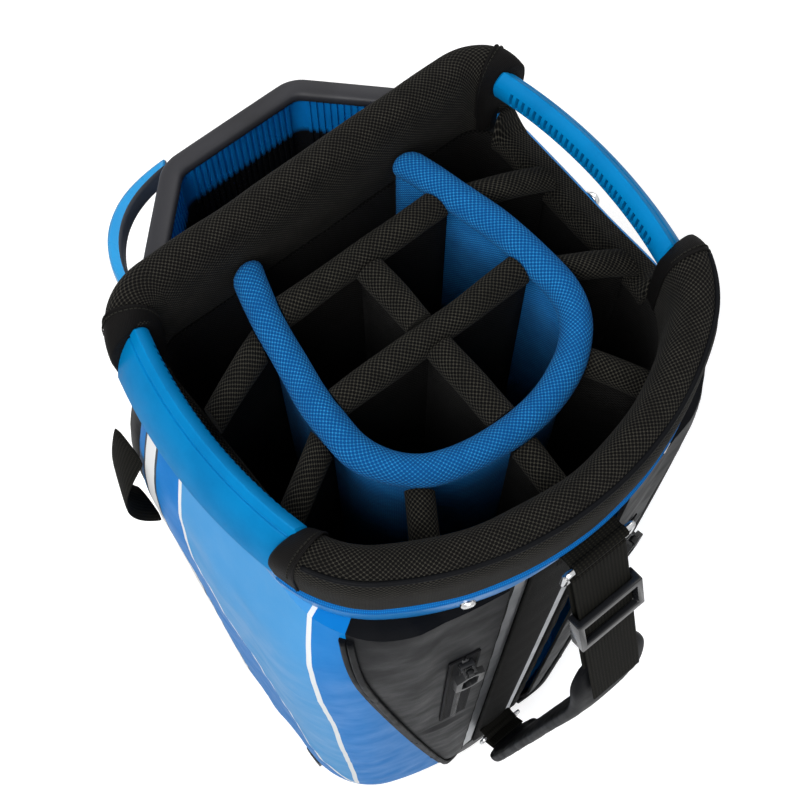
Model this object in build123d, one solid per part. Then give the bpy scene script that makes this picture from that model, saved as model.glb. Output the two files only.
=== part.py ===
"""Golf cart bag: a fourteen-way padded top with two moulded handles, an outside putter well,
a full-length club tube on a moulded base, zipped pockets and a ringed shoulder strap.

Millimetres. +Z is up, +Y is the putter-well side, -Y is the spine with the shoulder strap.
The origin is on the floor, under the middle of the club tube.
"""

import os
from math import asin, atan2, cos, degrees, pi, sin, sqrt

from build123d import *

# Overall
BAG_HEIGHT = 900.0  # floor to the crest of the padded cuff
FACE_GAP = 0.3  # clearance between soft faces that only lie against each other

# Plan of the cuff: flat front, round front corners, straight sides, broad round rear
CUFF_HALF_WIDTH = 141.0
CUFF_FRONT = 125.0
CUFF_REAR = 125.0
CUFF_CORNER_R = 42.0
CUFF_SIDE_R = 75.0
CUFF_REAR_R = 190.0

# Cuff, from the outside inwards, as insets from that plan
PAD_WIDTH = 25.0  # outside of the padded roll to its inside
PAD_BEVEL = 7.5  # bevel along both edges of the roll's crest
PAD_SKIRT = 52.0  # crest down to the roll's outer hem
PAD_INNER_SKIRT = 60.0  # crest down to the roll's inner hem
BINDING_THICK = 1.2
BINDING_WIDTH = 15.0
BINDING_FRONT_TURN = 52.0  # how far the front tapes reach round the corner, from straight out sideways
FRAME_INSET = 16.0  # outside of the moulded cuff frame
FRAME_WALL = 4.0
FRAME_DEPTH = 110.0  # crest of the roll down to the frame's lower edge
SILL_DROP = 64.0  # crest of the roll down to the frame's top under the handles
FRAME_CREST_DROP = 14.0  # crest of the roll above the frame's raised arcs
BAND_INSET = 4.0
BAND_HEIGHT = 35.0
PIPING_R = 2.6

# Handle gaps in the cuff, set back from its front and rear
GAP_FRONT_SETBACK = 30.0
GAP_REAR_SETBACK = 83.0

# Moulded handles: section across the handle, as distance outside the cuff and height below its crest
HANDLE_INNER = (-19.5, 20.0)
HANDLE_RIDGE = (-12.0, 8.0)
HANDLE_LIP = (7.5, 45.0)
HANDLE_WALL = 6.5
HANDLE_CROWN = 4.0  # rise of the outer face between the ridge and the lip
HANDLE_BROW = 2.0  # rise of the top face between the inner edge and the ridge
HANDLE_ROOT = 5.2  # width of the flat under the inner edge
HANDLE_EDGE_R = 1.4
HANDLE_BOW_R = 300.0

# Club tube and base
TUBE_WALL = 7.0
BASE_HEIGHT = 56.0
BASE_FLOOR = 8.0
BASE_WALL = 3.7
BASE_BEVEL = 4.0

# Putter well: a half hexagon in plan, in front of the cuff
WELL_DROP = 53.0  # crest of the roll down to the well's rim
WELL_STAND = 67.0  # cuff's front to the well's front
WELL_SETBACK = 1.0  # well's sides inside the start of the cuff's front corners
WELL_SLANT = 52.0  # run of each slanted side, both across and back
WELL_FRONT_R = 24.0
WELL_SIDE_R = 18.0
COLLAR_HEIGHT = 14.0
COLLAR_WIDTH = 9.0
COLLAR_BEVEL = 2.0
LINER_OUTER_INSET = 1.5
LINER_LIP = 2.5
LINER_DROP = 2.0  # collar's top down to the liner's lip
LINER_DEPTH = 74.0
RIB_PITCH = 4.0
RIB_HEIGHT = 1.1
RIB_WIDTH = 2.0
SLEEVE_INSET = 1.0
SLEEVE_WALL = 3.0

# Towel loop on the left side of the putter well
LOOP_LENGTH = 104.0
LOOP_STAND = 26.0
LOOP_WIDTH = 12.0
LOOP_HEIGHT = 20.0
LOOP_DROP = 23.0  # well's rim down to the loop's middle

# Dividers
U_HALF_WIDTH = 71.5
U_REAR = 62.0
U_SIDE_R = 45.0
U_REAR_R = 110.0
U_FRONT_HALF = 52.0
U_ROLL_R = 9.0
U_ROLL_BEVEL = 5.0
U_ROLL_DROP = 33.0  # crest of the cuff down to the roll's axis, as for the next two
CROSS_ROLL_R = 8.5
CROSS_ROLL_DROP = 37.0
RING_ROLL_R = 8.0
RING_ROLL_DROP = 42.0
ROLL_FOOT = 6.5  # roll axis down to the flat it is sewn on
DIVIDER_SHEET = 2.0
FRONT_CROSS_Y = 66.0
REAR_CROSS_Y = 7.0
RING_SEATS = ((72.0, 60.0, -20.0), (72.0, 0.0, -28.0), (54.0, -50.0, -58.0))

# Side pockets: how far the outside stands out of the cuff at its side, front and rear, at three heights
POCKET_FOOT = (-3.0, 3.0, -13.0)
POCKET_BODY = (16.0, 16.0, -3.0)
POCKET_HEAD = (-3.0, 3.0, -4.0)
POCKET_CLEAR = 2.0  # above the base and below the band
POCKET_FOOT_RISE = 92.0
POCKET_HEAD_RISE = 121.0
POCKET_CORNER_R = 60.0
POCKET_SIDE_R = 62.0
POCKET_REAR_R = 300.0
POCKET_CHORDS = (4, 4, 3)  # flats round the corner, the side arc and the rear arc
POCKET_WALL = 4.0
POCKET_REAR_EDGE = 44.0
PANEL_SETBACK = 29.0  # cuff's front back to the front edge of the side panel
SEAM_TOP_IN = (20.0, 48.0)  # slanted rear seam's top, in from the cuff's side and rear
SEAM_FOOT_X = 40.0
SEAM_FOOT_IN = 17.0
EDGE_PIPING_WIDTH = 4.6
EDGE_PIPING_PROUD = 2.2

# Spine
SPINE_THICK = 6.0
STAY_WIDTH = 12.0
STAY_THICK = 2.5
STAY_X = 26.0
STAY_SEAT = 1.0  # how far the stays' backs are let into the tube's side of the spine

# Front pockets on the putter sleeve
UPPER_POCKET_HALF = 58.0
UPPER_POCKET_STAND = 30.0  # in front of the well
UPPER_POCKET_DROP = 81.0  # below the sleeve's top
BALL_POCKET_HALF = 64.0
BALL_POCKET_STAND = 48.0
BALL_POCKET_RISE = 34.0  # above the base
BALL_POCKET_HEIGHT = 350.0
POCKET_SPACE = 40.0  # between the two
POCKET_BEVEL = 10.0

# Zips
TAPE_WIDTH = 22.0
TAPE_THICK = 1.2
COIL_WIDTH = 5.0
COIL_HEIGHT = 1.2
SLIDER_LENGTH = 13.0
SLIDER_WIDTH = 9.0
SLIDER_HEIGHT = 4.0
SLIDER_CLEAR = 0.3
CROWN_HEIGHT = 2.4
CROWN_SPAN = 9.0
PIN_R = 0.9
EYE_CLEAR = 0.35
EYE_R = 2.7
EYE_SIDES = 8
EYE_SINK = 0.4  # how far the loop runs into the eye
PULL_LENGTH = 42.0
PULL_WIDTH = 20.0
PULL_CORD = 4.4
PULL_BEVEL = 6.0
SIDE_ZIP_RISE = 50.0  # above the pocket's foot
SIDE_ZIP_RUN = (-34.0, 62.0)
SIDE_ZIP_SLIDER_Y = -26.0
REAR_ZIP_X = 66.0
REAR_ZIP_DROP = 4.0  # below the top of the pocket's body
REAR_ZIP_LENGTH = 234.0
REAR_ZIP_SLIDER_DROP = 14.0  # below the zip's top
FRONT_ZIP_DROP = 32.0
FRONT_ZIP_MARGIN = 15.0
FRONT_ZIP_SLIDER_INSET = 10.0

# Shoulder strap
WEB_WIDTH = 38.0
WEB_THICK = 1.4
RING_WIRE_R = 2.0
RING_SIDE_ROOM = 2.0  # between the webbing and the ring's wire, each side
RING_HEIGHT = 20.0
WEB_CLEAR = 0.2
FOLD_SIDES = 12  # flats of a whole turn of folded webbing
UPPER_BAR_STAND = 8.0  # cuff's rear out to the bar that hangs in the upper keeper
UPPER_BAR_DROP = 62.0  # crest of the roll down to that bar
LOWER_BAR_STAND = 0.0  # cuff's rear out to the bar that hangs in the lower keeper
KEEPER_NARROW = 2.0  # less than the webbing
KEEPER_LENGTH = 22.0
KEEPER_SEAT = 2.0  # how far the flat reaches in to follow the bag's round rear
RUN_ANGLE = 17.0  # of the adjustable run, outwards from straight down
RUN_LENGTH = 122.0
TAIL_LENGTH = 158.0
RETURN_ANGLE = 30.0  # of the lower end, outwards from straight up
RETURN_LENGTH = 26.0
STRAP_SHOULDER = 50.0  # pad's top end to its upper bend
STRAP_HEEL = 45.0  # lower bar to the pad's lower bend
STRAP_SHOULDER_R = 200.0
STRAP_HEEL_R = 50.0
STRAP_PAD_WIDTH = 58.0
STRAP_PAD_THICK = 11.0
STRAP_PAD_BEVEL = 3.0
STRAP_PAD_SET_BACK = 1.5  # pad's middle behind the webbing it is sewn to, clear of the free tail
ADJUSTER_AT = 58.0  # along the run from the ring
ADJUSTER_LENGTH = 30.0
ADJUSTER_RAIL = 4.0
ADJUSTER_BAR = 5.0
ADJUSTER_CROSSBAR = 8.0
ADJUSTER_PROUD = 4.2  # front bars, outside the webbing
ADJUSTER_CLEAR = 0.5

# Rain-hood studs
STUD_R = 6.0
STUD_SIDES = 16
STUD_FLANGE = 1.5
STUD_HEIGHT = 4.5
STUD_CAP_R = 4.4
STUD_BEVEL = 1.2
STUD_DROP = 74.0  # crest of the roll down to the studs
STUD_REAR_X = 68.0
STUD_SIDE_Y = 27.0

# Sizes that follow from those above
CUFF_HEM = BAG_HEIGHT - PAD_SKIRT
KEEPER_WIDTH = WEB_WIDTH - KEEPER_NARROW
RING_WIDTH = WEB_WIDTH + 2 * RING_SIDE_ROOM + 4 * RING_WIRE_R
BAND_LOWER = CUFF_HEM - BAND_HEIGHT
FRAME_LOWER = BAG_HEIGHT - FRAME_DEPTH
FRAME_SILL = BAG_HEIGHT - SILL_DROP
GAP_FRONT = CUFF_FRONT - GAP_FRONT_SETBACK
GAP_REAR = GAP_REAR_SETBACK - CUFF_REAR
TUBE_INSET = FRAME_INSET
TUBE_INNER = TUBE_INSET + TUBE_WALL
BASE_INSET = FRAME_INSET - BASE_WALL - FACE_GAP
WELL_TOP = BAG_HEIGHT - WELL_DROP
WELL_FRONT = CUFF_FRONT + WELL_STAND
WELL_SIDE_Y = WELL_FRONT - WELL_SLANT
WELL_SIDE_HALF = CUFF_HALF_WIDTH - CUFF_CORNER_R - WELL_SETBACK
WELL_FRONT_HALF = WELL_SIDE_HALF - WELL_SLANT
SLEEVE_TOP = WELL_TOP - LINER_DROP - LINER_DEPTH
POCKET_LOW = BASE_HEIGHT + POCKET_CLEAR
POCKET_HIGH = BAND_LOWER - POCKET_CLEAR
POCKET_LEVELS = ((POCKET_LOW, POCKET_FOOT), (POCKET_LOW + POCKET_FOOT_RISE, POCKET_BODY),
                 (POCKET_HIGH - POCKET_HEAD_RISE, POCKET_BODY), (POCKET_HIGH, POCKET_HEAD))
PANEL_FRONT_Y = CUFF_FRONT - PANEL_SETBACK
BALL_POCKET_LOW = BASE_HEIGHT + BALL_POCKET_RISE
BALL_POCKET_HIGH = BALL_POCKET_LOW + BALL_POCKET_HEIGHT
UPPER_POCKET = (UPPER_POCKET_HALF, WELL_FRONT + UPPER_POCKET_STAND,
                BALL_POCKET_HIGH + POCKET_SPACE, SLEEVE_TOP - UPPER_POCKET_DROP)
BALL_POCKET = (BALL_POCKET_HALF, WELL_FRONT + BALL_POCKET_STAND, BALL_POCKET_LOW, BALL_POCKET_HIGH)
SIDE_ZIP_Z = POCKET_LOW + SIDE_ZIP_RISE
REAR_ZIP_TOP = POCKET_LEVELS[2][0] - REAR_ZIP_DROP
PIN_Z = TAPE_THICK + SLIDER_CLEAR + SLIDER_HEIGHT + CROWN_HEIGHT + PIN_R
RING_REACH = RING_HEIGHT - 2 * RING_WIRE_R  # between the axes of a ring's two bars
LAYER_IN = RING_WIRE_R + WEB_CLEAR
LAYER_OUT = LAYER_IN + WEB_THICK
UPPER_BAR = (-CUFF_REAR - UPPER_BAR_STAND, BAG_HEIGHT - UPPER_BAR_DROP)  # Y and Z
LOWER_BAR = (-CUFF_REAR - LOWER_BAR_STAND, POCKET_LEVELS[1][0])


# Plan outlines

def tub_wire(half_width, front, rear, corner_r, side_r, rear_r):
    """Closed plan outline: flat front, two corner arcs, straight sides, two side arcs and one rear arc."""
    rear_cy = rear_r - rear
    side_cx = half_width - side_r
    side_cy = rear_cy - sqrt((rear_r - side_r) ** 2 - side_cx ** 2)
    turn = atan2(rear_cy - side_cy, side_cx)
    corner = (half_width - corner_r, front - corner_r)

    def on_arc(centre, radius, angle):
        return (centre[0] + radius * cos(angle), centre[1] + radius * sin(angle))

    def half(sign):
        points = [(corner[0], front), on_arc(corner, corner_r, pi / 4), (half_width, corner[1]),
                  (half_width, side_cy), on_arc((side_cx, side_cy), side_r, -turn / 2),
                  on_arc((0, rear_cy), rear_r, -turn)]
        return [(sign * x, y) for x, y in points]

    right, left = half(1), half(-1)
    edges = [Line(left[0], right[0])]
    for side in (right, left):
        edges.append(ThreePointArc(side[0], side[1], side[2]))
        edges.append(Line(side[2], side[3]))
        edges.append(ThreePointArc(side[3], side[4], side[5]))
    edges.append(ThreePointArc(right[5], (0, -rear), left[5]))
    return Wire(edges)


def cuff_face(inset):
    """The cuff's plan, drawn in by inset."""
    return Face(tub_wire(CUFF_HALF_WIDTH - inset, CUFF_FRONT - inset, CUFF_REAR - inset,
                         CUFF_CORNER_R - inset, CUFF_SIDE_R - inset, CUFF_REAR_R - inset))


def well_face(inset):
    """The putter well's plan, a half hexagon that runs back into the cuff, drawn in by inset."""
    slope = atan2(WELL_FRONT - WELL_SIDE_Y, WELL_SIDE_HALF - WELL_FRONT_HALF)
    front_half = WELL_FRONT_HALF - inset * (1 / sin(slope) - 1 / (sin(slope) / cos(slope)))
    side_half = WELL_SIDE_HALF - inset
    side_y = WELL_SIDE_Y - inset * (1 / cos(slope) - sin(slope) / cos(slope))
    front = WELL_FRONT - inset
    back = CUFF_FRONT - FRAME_INSET
    outline = Polygon((side_half, back), (side_half, side_y), (front_half, front),
                      (-front_half, front), (-side_half, side_y), (-side_half, back), align=None)
    outline = fillet(outline.vertices().group_by(Axis.Y)[-1], WELL_FRONT_R - inset)
    sides = [v for v in outline.vertices() if abs(abs(v.X) - side_half) < 0.01 and v.Y > back + 1]
    return fillet(sides, WELL_SIDE_R - inset).face()


def prism(face, low, high):
    """A plan face drawn up between two heights."""
    return extrude(Pos(0, 0, low) * face, high - low, dir=(0, 0, 1))


def slab(x0, x1, y0, y1, z0, z1):
    """A plain block between three pairs of limits, used to cut and to keep."""
    return Pos((x0 + x1) / 2, (y0 + y1) / 2, (z0 + z1) / 2) * Box(x1 - x0, y1 - y0, z1 - z0)


def both_sides(shape):
    """The shape and its mirror image across the bag's middle plane."""
    return shape, mirror(shape, about=Plane.YZ)


# Cuff

def pad_ring(outset):
    """The padded roll as a whole ring, with a bevelled crest, drawn out all over by outset."""
    crest = BAG_HEIGHT + outset
    lower = BAG_HEIGHT - PAD_INNER_SKIRT
    ring = prism(cuff_face(-outset), lower, crest) - prism(cuff_face(PAD_WIDTH + outset), lower, crest)
    return chamfer(ring.faces().sort_by(Axis.Z)[-1].edges(), PAD_BEVEL + outset * (2 - sqrt(2)))


def handle_gaps(low, high):
    """Blocks that clear both handle gaps between two heights."""
    reach = CUFF_HALF_WIDTH / 2
    return list(both_sides(slab(reach, 3 * reach, GAP_REAR, GAP_FRONT, low, high)))


def make_cuff_frame():
    """Moulded ring whose front and rear arcs stand up inside the padded rolls."""
    crest = BAG_HEIGHT - FRAME_CREST_DROP
    ring = prism(cuff_face(FRAME_INSET), FRAME_LOWER, crest)
    ring -= prism(cuff_face(FRAME_INSET + FRAME_WALL), FRAME_LOWER, crest)
    return ring - handle_gaps(FRAME_SILL, crest)


def make_cuff_pads(frame):
    """Front and rear padded rolls, folded over the frame's raised arcs."""
    below_hem = prism(cuff_face(-PAD_WIDTH), 0, CUFF_HEM) - prism(cuff_face(FRAME_INSET), 0, CUFF_HEM)
    ring = pad_ring(0) - frame - below_hem - handle_gaps(0, BAG_HEIGHT)
    middle = (GAP_FRONT + GAP_REAR) / 2
    reach = 2 * CUFF_HALF_WIDTH
    front = ring & slab(-reach, reach, middle, reach, 0, BAG_HEIGHT)
    rear = ring & slab(-reach, reach, -reach, middle, 0, BAG_HEIGHT)
    return front, rear


def make_cuff_bindings():
    """Sewn tapes over the four ends of the padded rolls."""
    low, high = CUFF_HEM, BAG_HEIGHT + BINDING_THICK
    skin = pad_ring(BINDING_THICK) - pad_ring(0)
    reach = CUFF_HALF_WIDTH / 2
    rear = skin & slab(reach, 3 * reach, GAP_REAR - BINDING_WIDTH, GAP_REAR, low, high)
    corner = Pos(CUFF_HALF_WIDTH - CUFF_CORNER_R, CUFF_FRONT - CUFF_CORNER_R, low)
    sector = corner * Rot(0, 0, BINDING_FRONT_TURN) * slab(0, reach, -reach, 0, 0, high - low)
    front = skin & sector & slab(reach, 3 * reach, GAP_FRONT, 2 * CUFF_FRONT, low, high)
    return [*both_sides(front), *both_sides(rear)]


def make_cuff_band():
    """Padded band below the rolls, lower under the handles."""
    band = prism(cuff_face(BAND_INSET), BAND_LOWER, CUFF_HEM)
    band -= prism(cuff_face(FRAME_INSET), BAND_LOWER, CUFF_HEM)
    return band - handle_gaps(FRAME_SILL, CUFF_HEM)


def make_cuff_piping():
    """Piping tucked under the outer hem of the rolls, left out behind the putter well."""
    low = CUFF_HEM - 2 * PIPING_R
    ring = prism(cuff_face(BAND_INSET - 1.5 * PIPING_R), low, CUFF_HEM)
    ring -= prism(cuff_face(BAND_INSET), low, CUFF_HEM)
    return ring - handle_gaps(low, CUFF_HEM) - prism(well_face(-FACE_GAP), low, CUFF_HEM)


# Handles

def make_handle():
    """Right-hand handle: a bowed bar with a hooked section that meets the ends of both rolls."""
    def spot(place):
        return Vector(CUFF_HALF_WIDTH + place[0], BAG_HEIGHT - place[1])

    middle = (GAP_FRONT + GAP_REAR) / 2
    inner, ridge, lip = spot(HANDLE_INNER), spot(HANDLE_RIDGE), spot(HANDLE_LIP)
    fall = (lip - ridge).normalized()
    outward = Vector(-fall.Y, fall.X)
    crown = (ridge + lip) * 0.5 + outward * HANDLE_CROWN
    heel = lip - outward * HANDLE_WALL
    hollow = crown - outward * HANDLE_WALL
    root = Vector(inner.X + HANDLE_ROOT, inner.Y)
    brow = (inner + ridge) * 0.5 + Vector(-HANDLE_BROW, HANDLE_BROW)
    section = make_face([ThreePointArc(ridge, crown, lip), Line(lip, heel), ThreePointArc(heel, hollow, root),
                         Line(root, inner), ThreePointArc(inner, brow, ridge)])
    section = fillet(section.vertices(), HANDLE_EDGE_R)

    axis = Axis((lip.X - HANDLE_BOW_R, middle, 0), (0, 0, 1))
    inner_r = HANDLE_BOW_R - lip.X + inner.X
    half_length = (GAP_FRONT - GAP_REAR) / 2
    turn = degrees(asin(half_length / inner_r)) + 1
    start = (Plane.XZ.offset(-middle) * section).rotate(axis, -turn)
    reach = lip.X + half_length
    return revolve(start, axis, 2 * turn) & slab(0, reach, GAP_REAR, GAP_FRONT, 0, 2 * BAG_HEIGHT)


# Club tube, base and putter well

def make_body_tube():
    """Stiff lining tube, rebated at the top to stand inside the cuff frame."""
    tube = prism(cuff_face(TUBE_INSET), BASE_FLOOR, FRAME_LOWER)
    tube += prism(cuff_face(FRAME_INSET + FRAME_WALL), FRAME_LOWER, FRAME_SILL)
    return tube - prism(cuff_face(TUBE_INNER), BASE_FLOOR, FRAME_SILL)


def make_base_tray():
    """Moulded tray that the club tube and the putter sleeve stand in."""
    well_inset = SLEEVE_INSET - FACE_GAP
    tray = prism(cuff_face(BASE_INSET), 0, BASE_HEIGHT)
    tray += prism(well_face(well_inset - BASE_WALL), 0, BASE_HEIGHT)
    tray = chamfer(tray.faces().sort_by(Axis.Z)[0].edges(), BASE_BEVEL)
    for seat in (cuff_face(TUBE_INSET - FACE_GAP), well_face(well_inset)):
        tray -= prism(seat, BASE_FLOOR, BASE_HEIGHT)
    return tray


def make_putter_collar():
    """Rim of the putter well, open towards the cuff."""
    low = WELL_TOP - COLLAR_HEIGHT
    collar = prism(well_face(0), low, WELL_TOP) - prism(well_face(COLLAR_WIDTH), low, WELL_TOP)
    collar = chamfer(collar.faces().sort_by(Axis.Z)[-1].edges(), COLLAR_BEVEL)
    return collar - prism(cuff_face(BAND_INSET), low, WELL_TOP)


def make_putter_liner():
    """Ribbed lining of the well: a wall under the collar and a lip up inside it."""
    top, low = WELL_TOP - LINER_DROP, SLEEVE_TOP
    step = WELL_TOP - COLLAR_HEIGHT
    inner_inset = COLLAR_WIDTH + LINER_LIP
    liner = prism(well_face(LINER_OUTER_INSET), low, step) + prism(well_face(COLLAR_WIDTH), step, top)
    liner -= prism(well_face(inner_inset), low, top)
    ribs = []
    for edge in well_face(inner_inset).edges().filter_by(GeomType.LINE):
        if (edge @ 0.5).Y < CUFF_FRONT:
            continue
        count = int(edge.length / RIB_PITCH)
        heading = degrees(atan2((edge % 0.5).Y, (edge % 0.5).X))
        for i in range(count):
            spot = edge @ ((i + 0.5) / count)
            rib = Box(RIB_WIDTH, 2 * RIB_HEIGHT, LINER_DEPTH)
            ribs.append(Pos(spot.X, spot.Y, (low + top) / 2) * Rot(0, 0, heading) * rib)
    return liner + ribs - prism(cuff_face(BAND_INSET), 0, BAG_HEIGHT)


def make_putter_sleeve():
    """Full-length outside channel that carries the putter, closed behind by the club tube."""
    sleeve = prism(well_face(SLEEVE_INSET), BASE_FLOOR, SLEEVE_TOP)
    sleeve -= prism(well_face(SLEEVE_INSET + SLEEVE_WALL), BASE_FLOOR, SLEEVE_TOP)
    return sleeve - prism(cuff_face(TUBE_INSET), BASE_FLOOR, SLEEVE_TOP)


def make_towel_loop():
    """Padded loop that arches off the slanted left side of the putter well."""
    middle = ((WELL_SIDE_HALF + WELL_FRONT_HALF) / 2, (WELL_SIDE_Y + WELL_FRONT) / 2)
    heading = degrees(atan2(WELL_FRONT - WELL_SIDE_Y, WELL_SIDE_HALF - WELL_FRONT_HALF))
    half = LOOP_LENGTH / 2
    inner_half = half - LOOP_WIDTH
    outer = make_face([ThreePointArc((-half, 0), (0, LOOP_STAND), (half, 0)), Line((half, 0), (half, -half)),
                       Line((half, -half), (-half, -half)), Line((-half, -half), (-half, 0))])
    inner = make_face([ThreePointArc((-inner_half, 0), (0, LOOP_STAND - LOOP_WIDTH), (inner_half, 0)),
                       Line((inner_half, 0), (inner_half, -2 * half)),
                       Line((inner_half, -2 * half), (-inner_half, -2 * half)),
                       Line((-inner_half, -2 * half), (-inner_half, 0))])
    place = Pos(-middle[0], middle[1], WELL_TOP - LOOP_DROP - LOOP_HEIGHT / 2) * Rot(0, 0, heading)
    loop = place * extrude(outer - inner, LOOP_HEIGHT)
    tall = BAG_HEIGHT
    return loop - prism(well_face(0), 0, tall) - prism(cuff_face(BAND_INSET - 2 * PIPING_R), 0, tall)


# Dividers

def u_wire(offset, front_y):
    """The U divider's plan line, drawn outwards by offset, from front_y round the rear and back."""
    side_cx = U_HALF_WIDTH - U_SIDE_R
    rear_cy = U_REAR_R - U_REAR
    side_cy = rear_cy - sqrt((U_REAR_R - U_SIDE_R) ** 2 - side_cx ** 2)
    turn = atan2(rear_cy - side_cy, side_cx)
    lean = U_HALF_WIDTH - U_FRONT_HALF
    rise = CUFF_FRONT - PAD_WIDTH - side_cy
    arm_r = (lean ** 2 + rise ** 2) / (2 * lean)
    arm_cx = U_HALF_WIDTH - arm_r
    lift = asin((front_y - side_cy) / (arm_r + offset))

    def on_arc(cx, cy, radius, angle):
        return (cx + (radius + offset) * cos(angle), cy + (radius + offset) * sin(angle))

    half = [on_arc(arm_cx, side_cy, arm_r, lift), on_arc(arm_cx, side_cy, arm_r, lift / 2),
            (U_HALF_WIDTH + offset, side_cy), on_arc(side_cx, side_cy, U_SIDE_R, -turn / 2),
            on_arc(0, rear_cy, U_REAR_R, -turn)]
    other = [(-x, y) for x, y in half]
    return [ThreePointArc(half[0], half[1], half[2]), ThreePointArc(half[2], half[3], half[4]),
            ThreePointArc(half[4], (0, -U_REAR - offset), other[4]),
            ThreePointArc(other[4], other[3], other[2]), ThreePointArc(other[2], other[1], other[0])]


def u_face(offset, front_y):
    """Everything inside the U, out to offset from its line."""
    edges = u_wire(offset, front_y)
    return make_face(edges + [Line(edges[-1] @ 1, edges[0] @ 0)]).face()


def make_u_divider():
    """The U-shaped divider: a padded roll round its top and the sheet that hangs below it."""
    front = CUFF_FRONT - PAD_WIDTH - FACE_GAP
    axis_z = BAG_HEIGHT - U_ROLL_DROP
    foot, crest = axis_z - ROLL_FOOT, axis_z + U_ROLL_R

    def channel(half, low, high):
        return prism(u_face(half, front), low, high) - prism(u_face(-half, front + half), low, high)

    roll = channel(U_ROLL_R, foot, crest)
    top = roll.faces().sort_by(Axis.Z)[-1].edges().filter_by(GeomType.CIRCLE)
    return chamfer(top, U_ROLL_BEVEL), channel(DIVIDER_SHEET / 2, BASE_FLOOR, foot)


def straight_divider(start, heading, length, roll_r, roll_drop, roll_room, sheet_room):
    """A padded roll on its hanging sheet, run out from start and cut to the room each has."""
    place = Pos(start[0], start[1], BASE_FLOOR) * Rot(0, 0, heading)
    roll_rise = BAG_HEIGHT - roll_drop - BASE_FLOOR
    drop = roll_rise - ROLL_FOOT
    along = (Align.MIN, Align.CENTER, Align.MIN)
    roll = place * Pos(0, 0, roll_rise) * Rot(0, 90, 0)
    roll = roll * Cylinder(roll_r, length, align=(Align.CENTER, Align.CENTER, Align.MIN))
    roll -= place * Box(length, 2 * roll_r, drop, align=along)
    sheet = place * Box(length, DIVIDER_SHEET, drop, align=along)
    return [roll & roll_room, sheet & sheet_room]


def make_straight_dividers():
    """Four dividers across and along the inside of the U, and seven from it out to the wall."""
    half_sheet = DIVIDER_SHEET / 2

    def inside_u(clear):
        return prism(u_face(-clear - FACE_GAP, CUFF_FRONT), 0, BAG_HEIGHT)

    def outside_u(clear):
        room = prism(cuff_face(PAD_WIDTH + FACE_GAP), 0, BAG_HEIGHT)
        return room - prism(u_face(clear + FACE_GAP, 2 * CUFF_FRONT), 0, BAG_HEIGHT)

    def off_cross(room, clear):
        for y in (FRONT_CROSS_Y, REAR_CROSS_Y):
            half = clear + FACE_GAP
            room -= slab(-U_HALF_WIDTH, U_HALF_WIDTH, y - half, y + half, 0, BAG_HEIGHT)
        return room

    in_roll, in_sheet = inside_u(U_ROLL_R), inside_u(half_sheet)
    mid_roll, mid_sheet = off_cross(in_roll, CROSS_ROLL_R), off_cross(in_sheet, half_sheet)
    out_roll, out_sheet = outside_u(U_ROLL_R), outside_u(half_sheet)
    cross = (CROSS_ROLL_R, CROSS_ROLL_DROP)
    ring = (RING_ROLL_R, RING_ROLL_DROP)
    across = 2 * U_HALF_WIDTH
    bay = FRONT_CROSS_Y - REAR_CROSS_Y
    nodes = {
        "divider_cross_front": straight_divider(
            (-U_HALF_WIDTH, FRONT_CROSS_Y), 0, across, *cross, in_roll, in_sheet),
        "divider_cross_rear": straight_divider(
            (-U_HALF_WIDTH, REAR_CROSS_Y), 0, across, *cross, in_roll, in_sheet),
        "divider_centre_front": straight_divider(
            (0, REAR_CROSS_Y), 90, bay, *cross, mid_roll, mid_sheet),
        "divider_centre_rear": straight_divider(
            (0, REAR_CROSS_Y), -90, U_REAR + REAR_CROSS_Y, *cross, mid_roll, mid_sheet),
        "divider_ring_spine": straight_divider(
            (0, -U_REAR), -90, CUFF_REAR, *ring, out_roll, out_sheet)}
    for number, (x, y, heading) in enumerate(RING_SEATS, 1):
        right = straight_divider((x, y), heading, CUFF_HALF_WIDTH, *ring, out_roll, out_sheet)
        nodes[f"divider_ring_right_{number}"] = right
        nodes[f"divider_ring_left_{number}"] = [mirror(piece, about=Plane.YZ) for piece in right]
    return nodes


# Side pockets and spine

def pocket_points(out, grow):
    """Right half of the side pockets' plan at one level, with flats round its curves, front to rear."""
    cuff = (CUFF_HALF_WIDTH, CUFF_FRONT, CUFF_REAR)
    half, front, rear = [size + extra + grow for size, extra in zip(cuff, out)]
    corner_r, side_r = POCKET_CORNER_R + grow, POCKET_SIDE_R + grow
    # The same run at every level keeps the flats flat
    rear_run = CUFF_HALF_WIDTH + POCKET_BODY[0] - POCKET_SIDE_R
    turn = pi / 2 - asin(rear_run / (POCKET_REAR_R - POCKET_SIDE_R))
    side_cx = half - side_r
    rear_r = POCKET_REAR_R + grow
    side_cy = rear_r - rear - (POCKET_REAR_R - POCKET_SIDE_R) * sin(turn)
    points = [(0, front)]
    for centre, radius, start, end, count in (
            ((half - corner_r, front - corner_r), corner_r, pi / 2, 0, POCKET_CHORDS[0]),
            ((side_cx, side_cy), side_r, 0, -turn, POCKET_CHORDS[1]),
            ((side_cx - rear_run, rear_r - rear), rear_r, -turn, -pi / 2, POCKET_CHORDS[2])):
        for i in range(count + 1):
            angle = start + (end - start) * i / count
            point = (centre[0] + radius * cos(angle), centre[1] + radius * sin(angle))
            if abs(point[0] - points[-1][0]) + abs(point[1] - points[-1][1]) > FACE_GAP:
                points.append(point)
    return points[1:]


def pocket_outline(out, grow):
    """Plan of both side pockets at one level, drawn out by grow."""
    right = pocket_points(out, grow)
    outline = right + [(-x, y) for x, y in reversed(right) if x > FACE_GAP]
    return make_face(Polyline(*outline, close=True))


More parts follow.
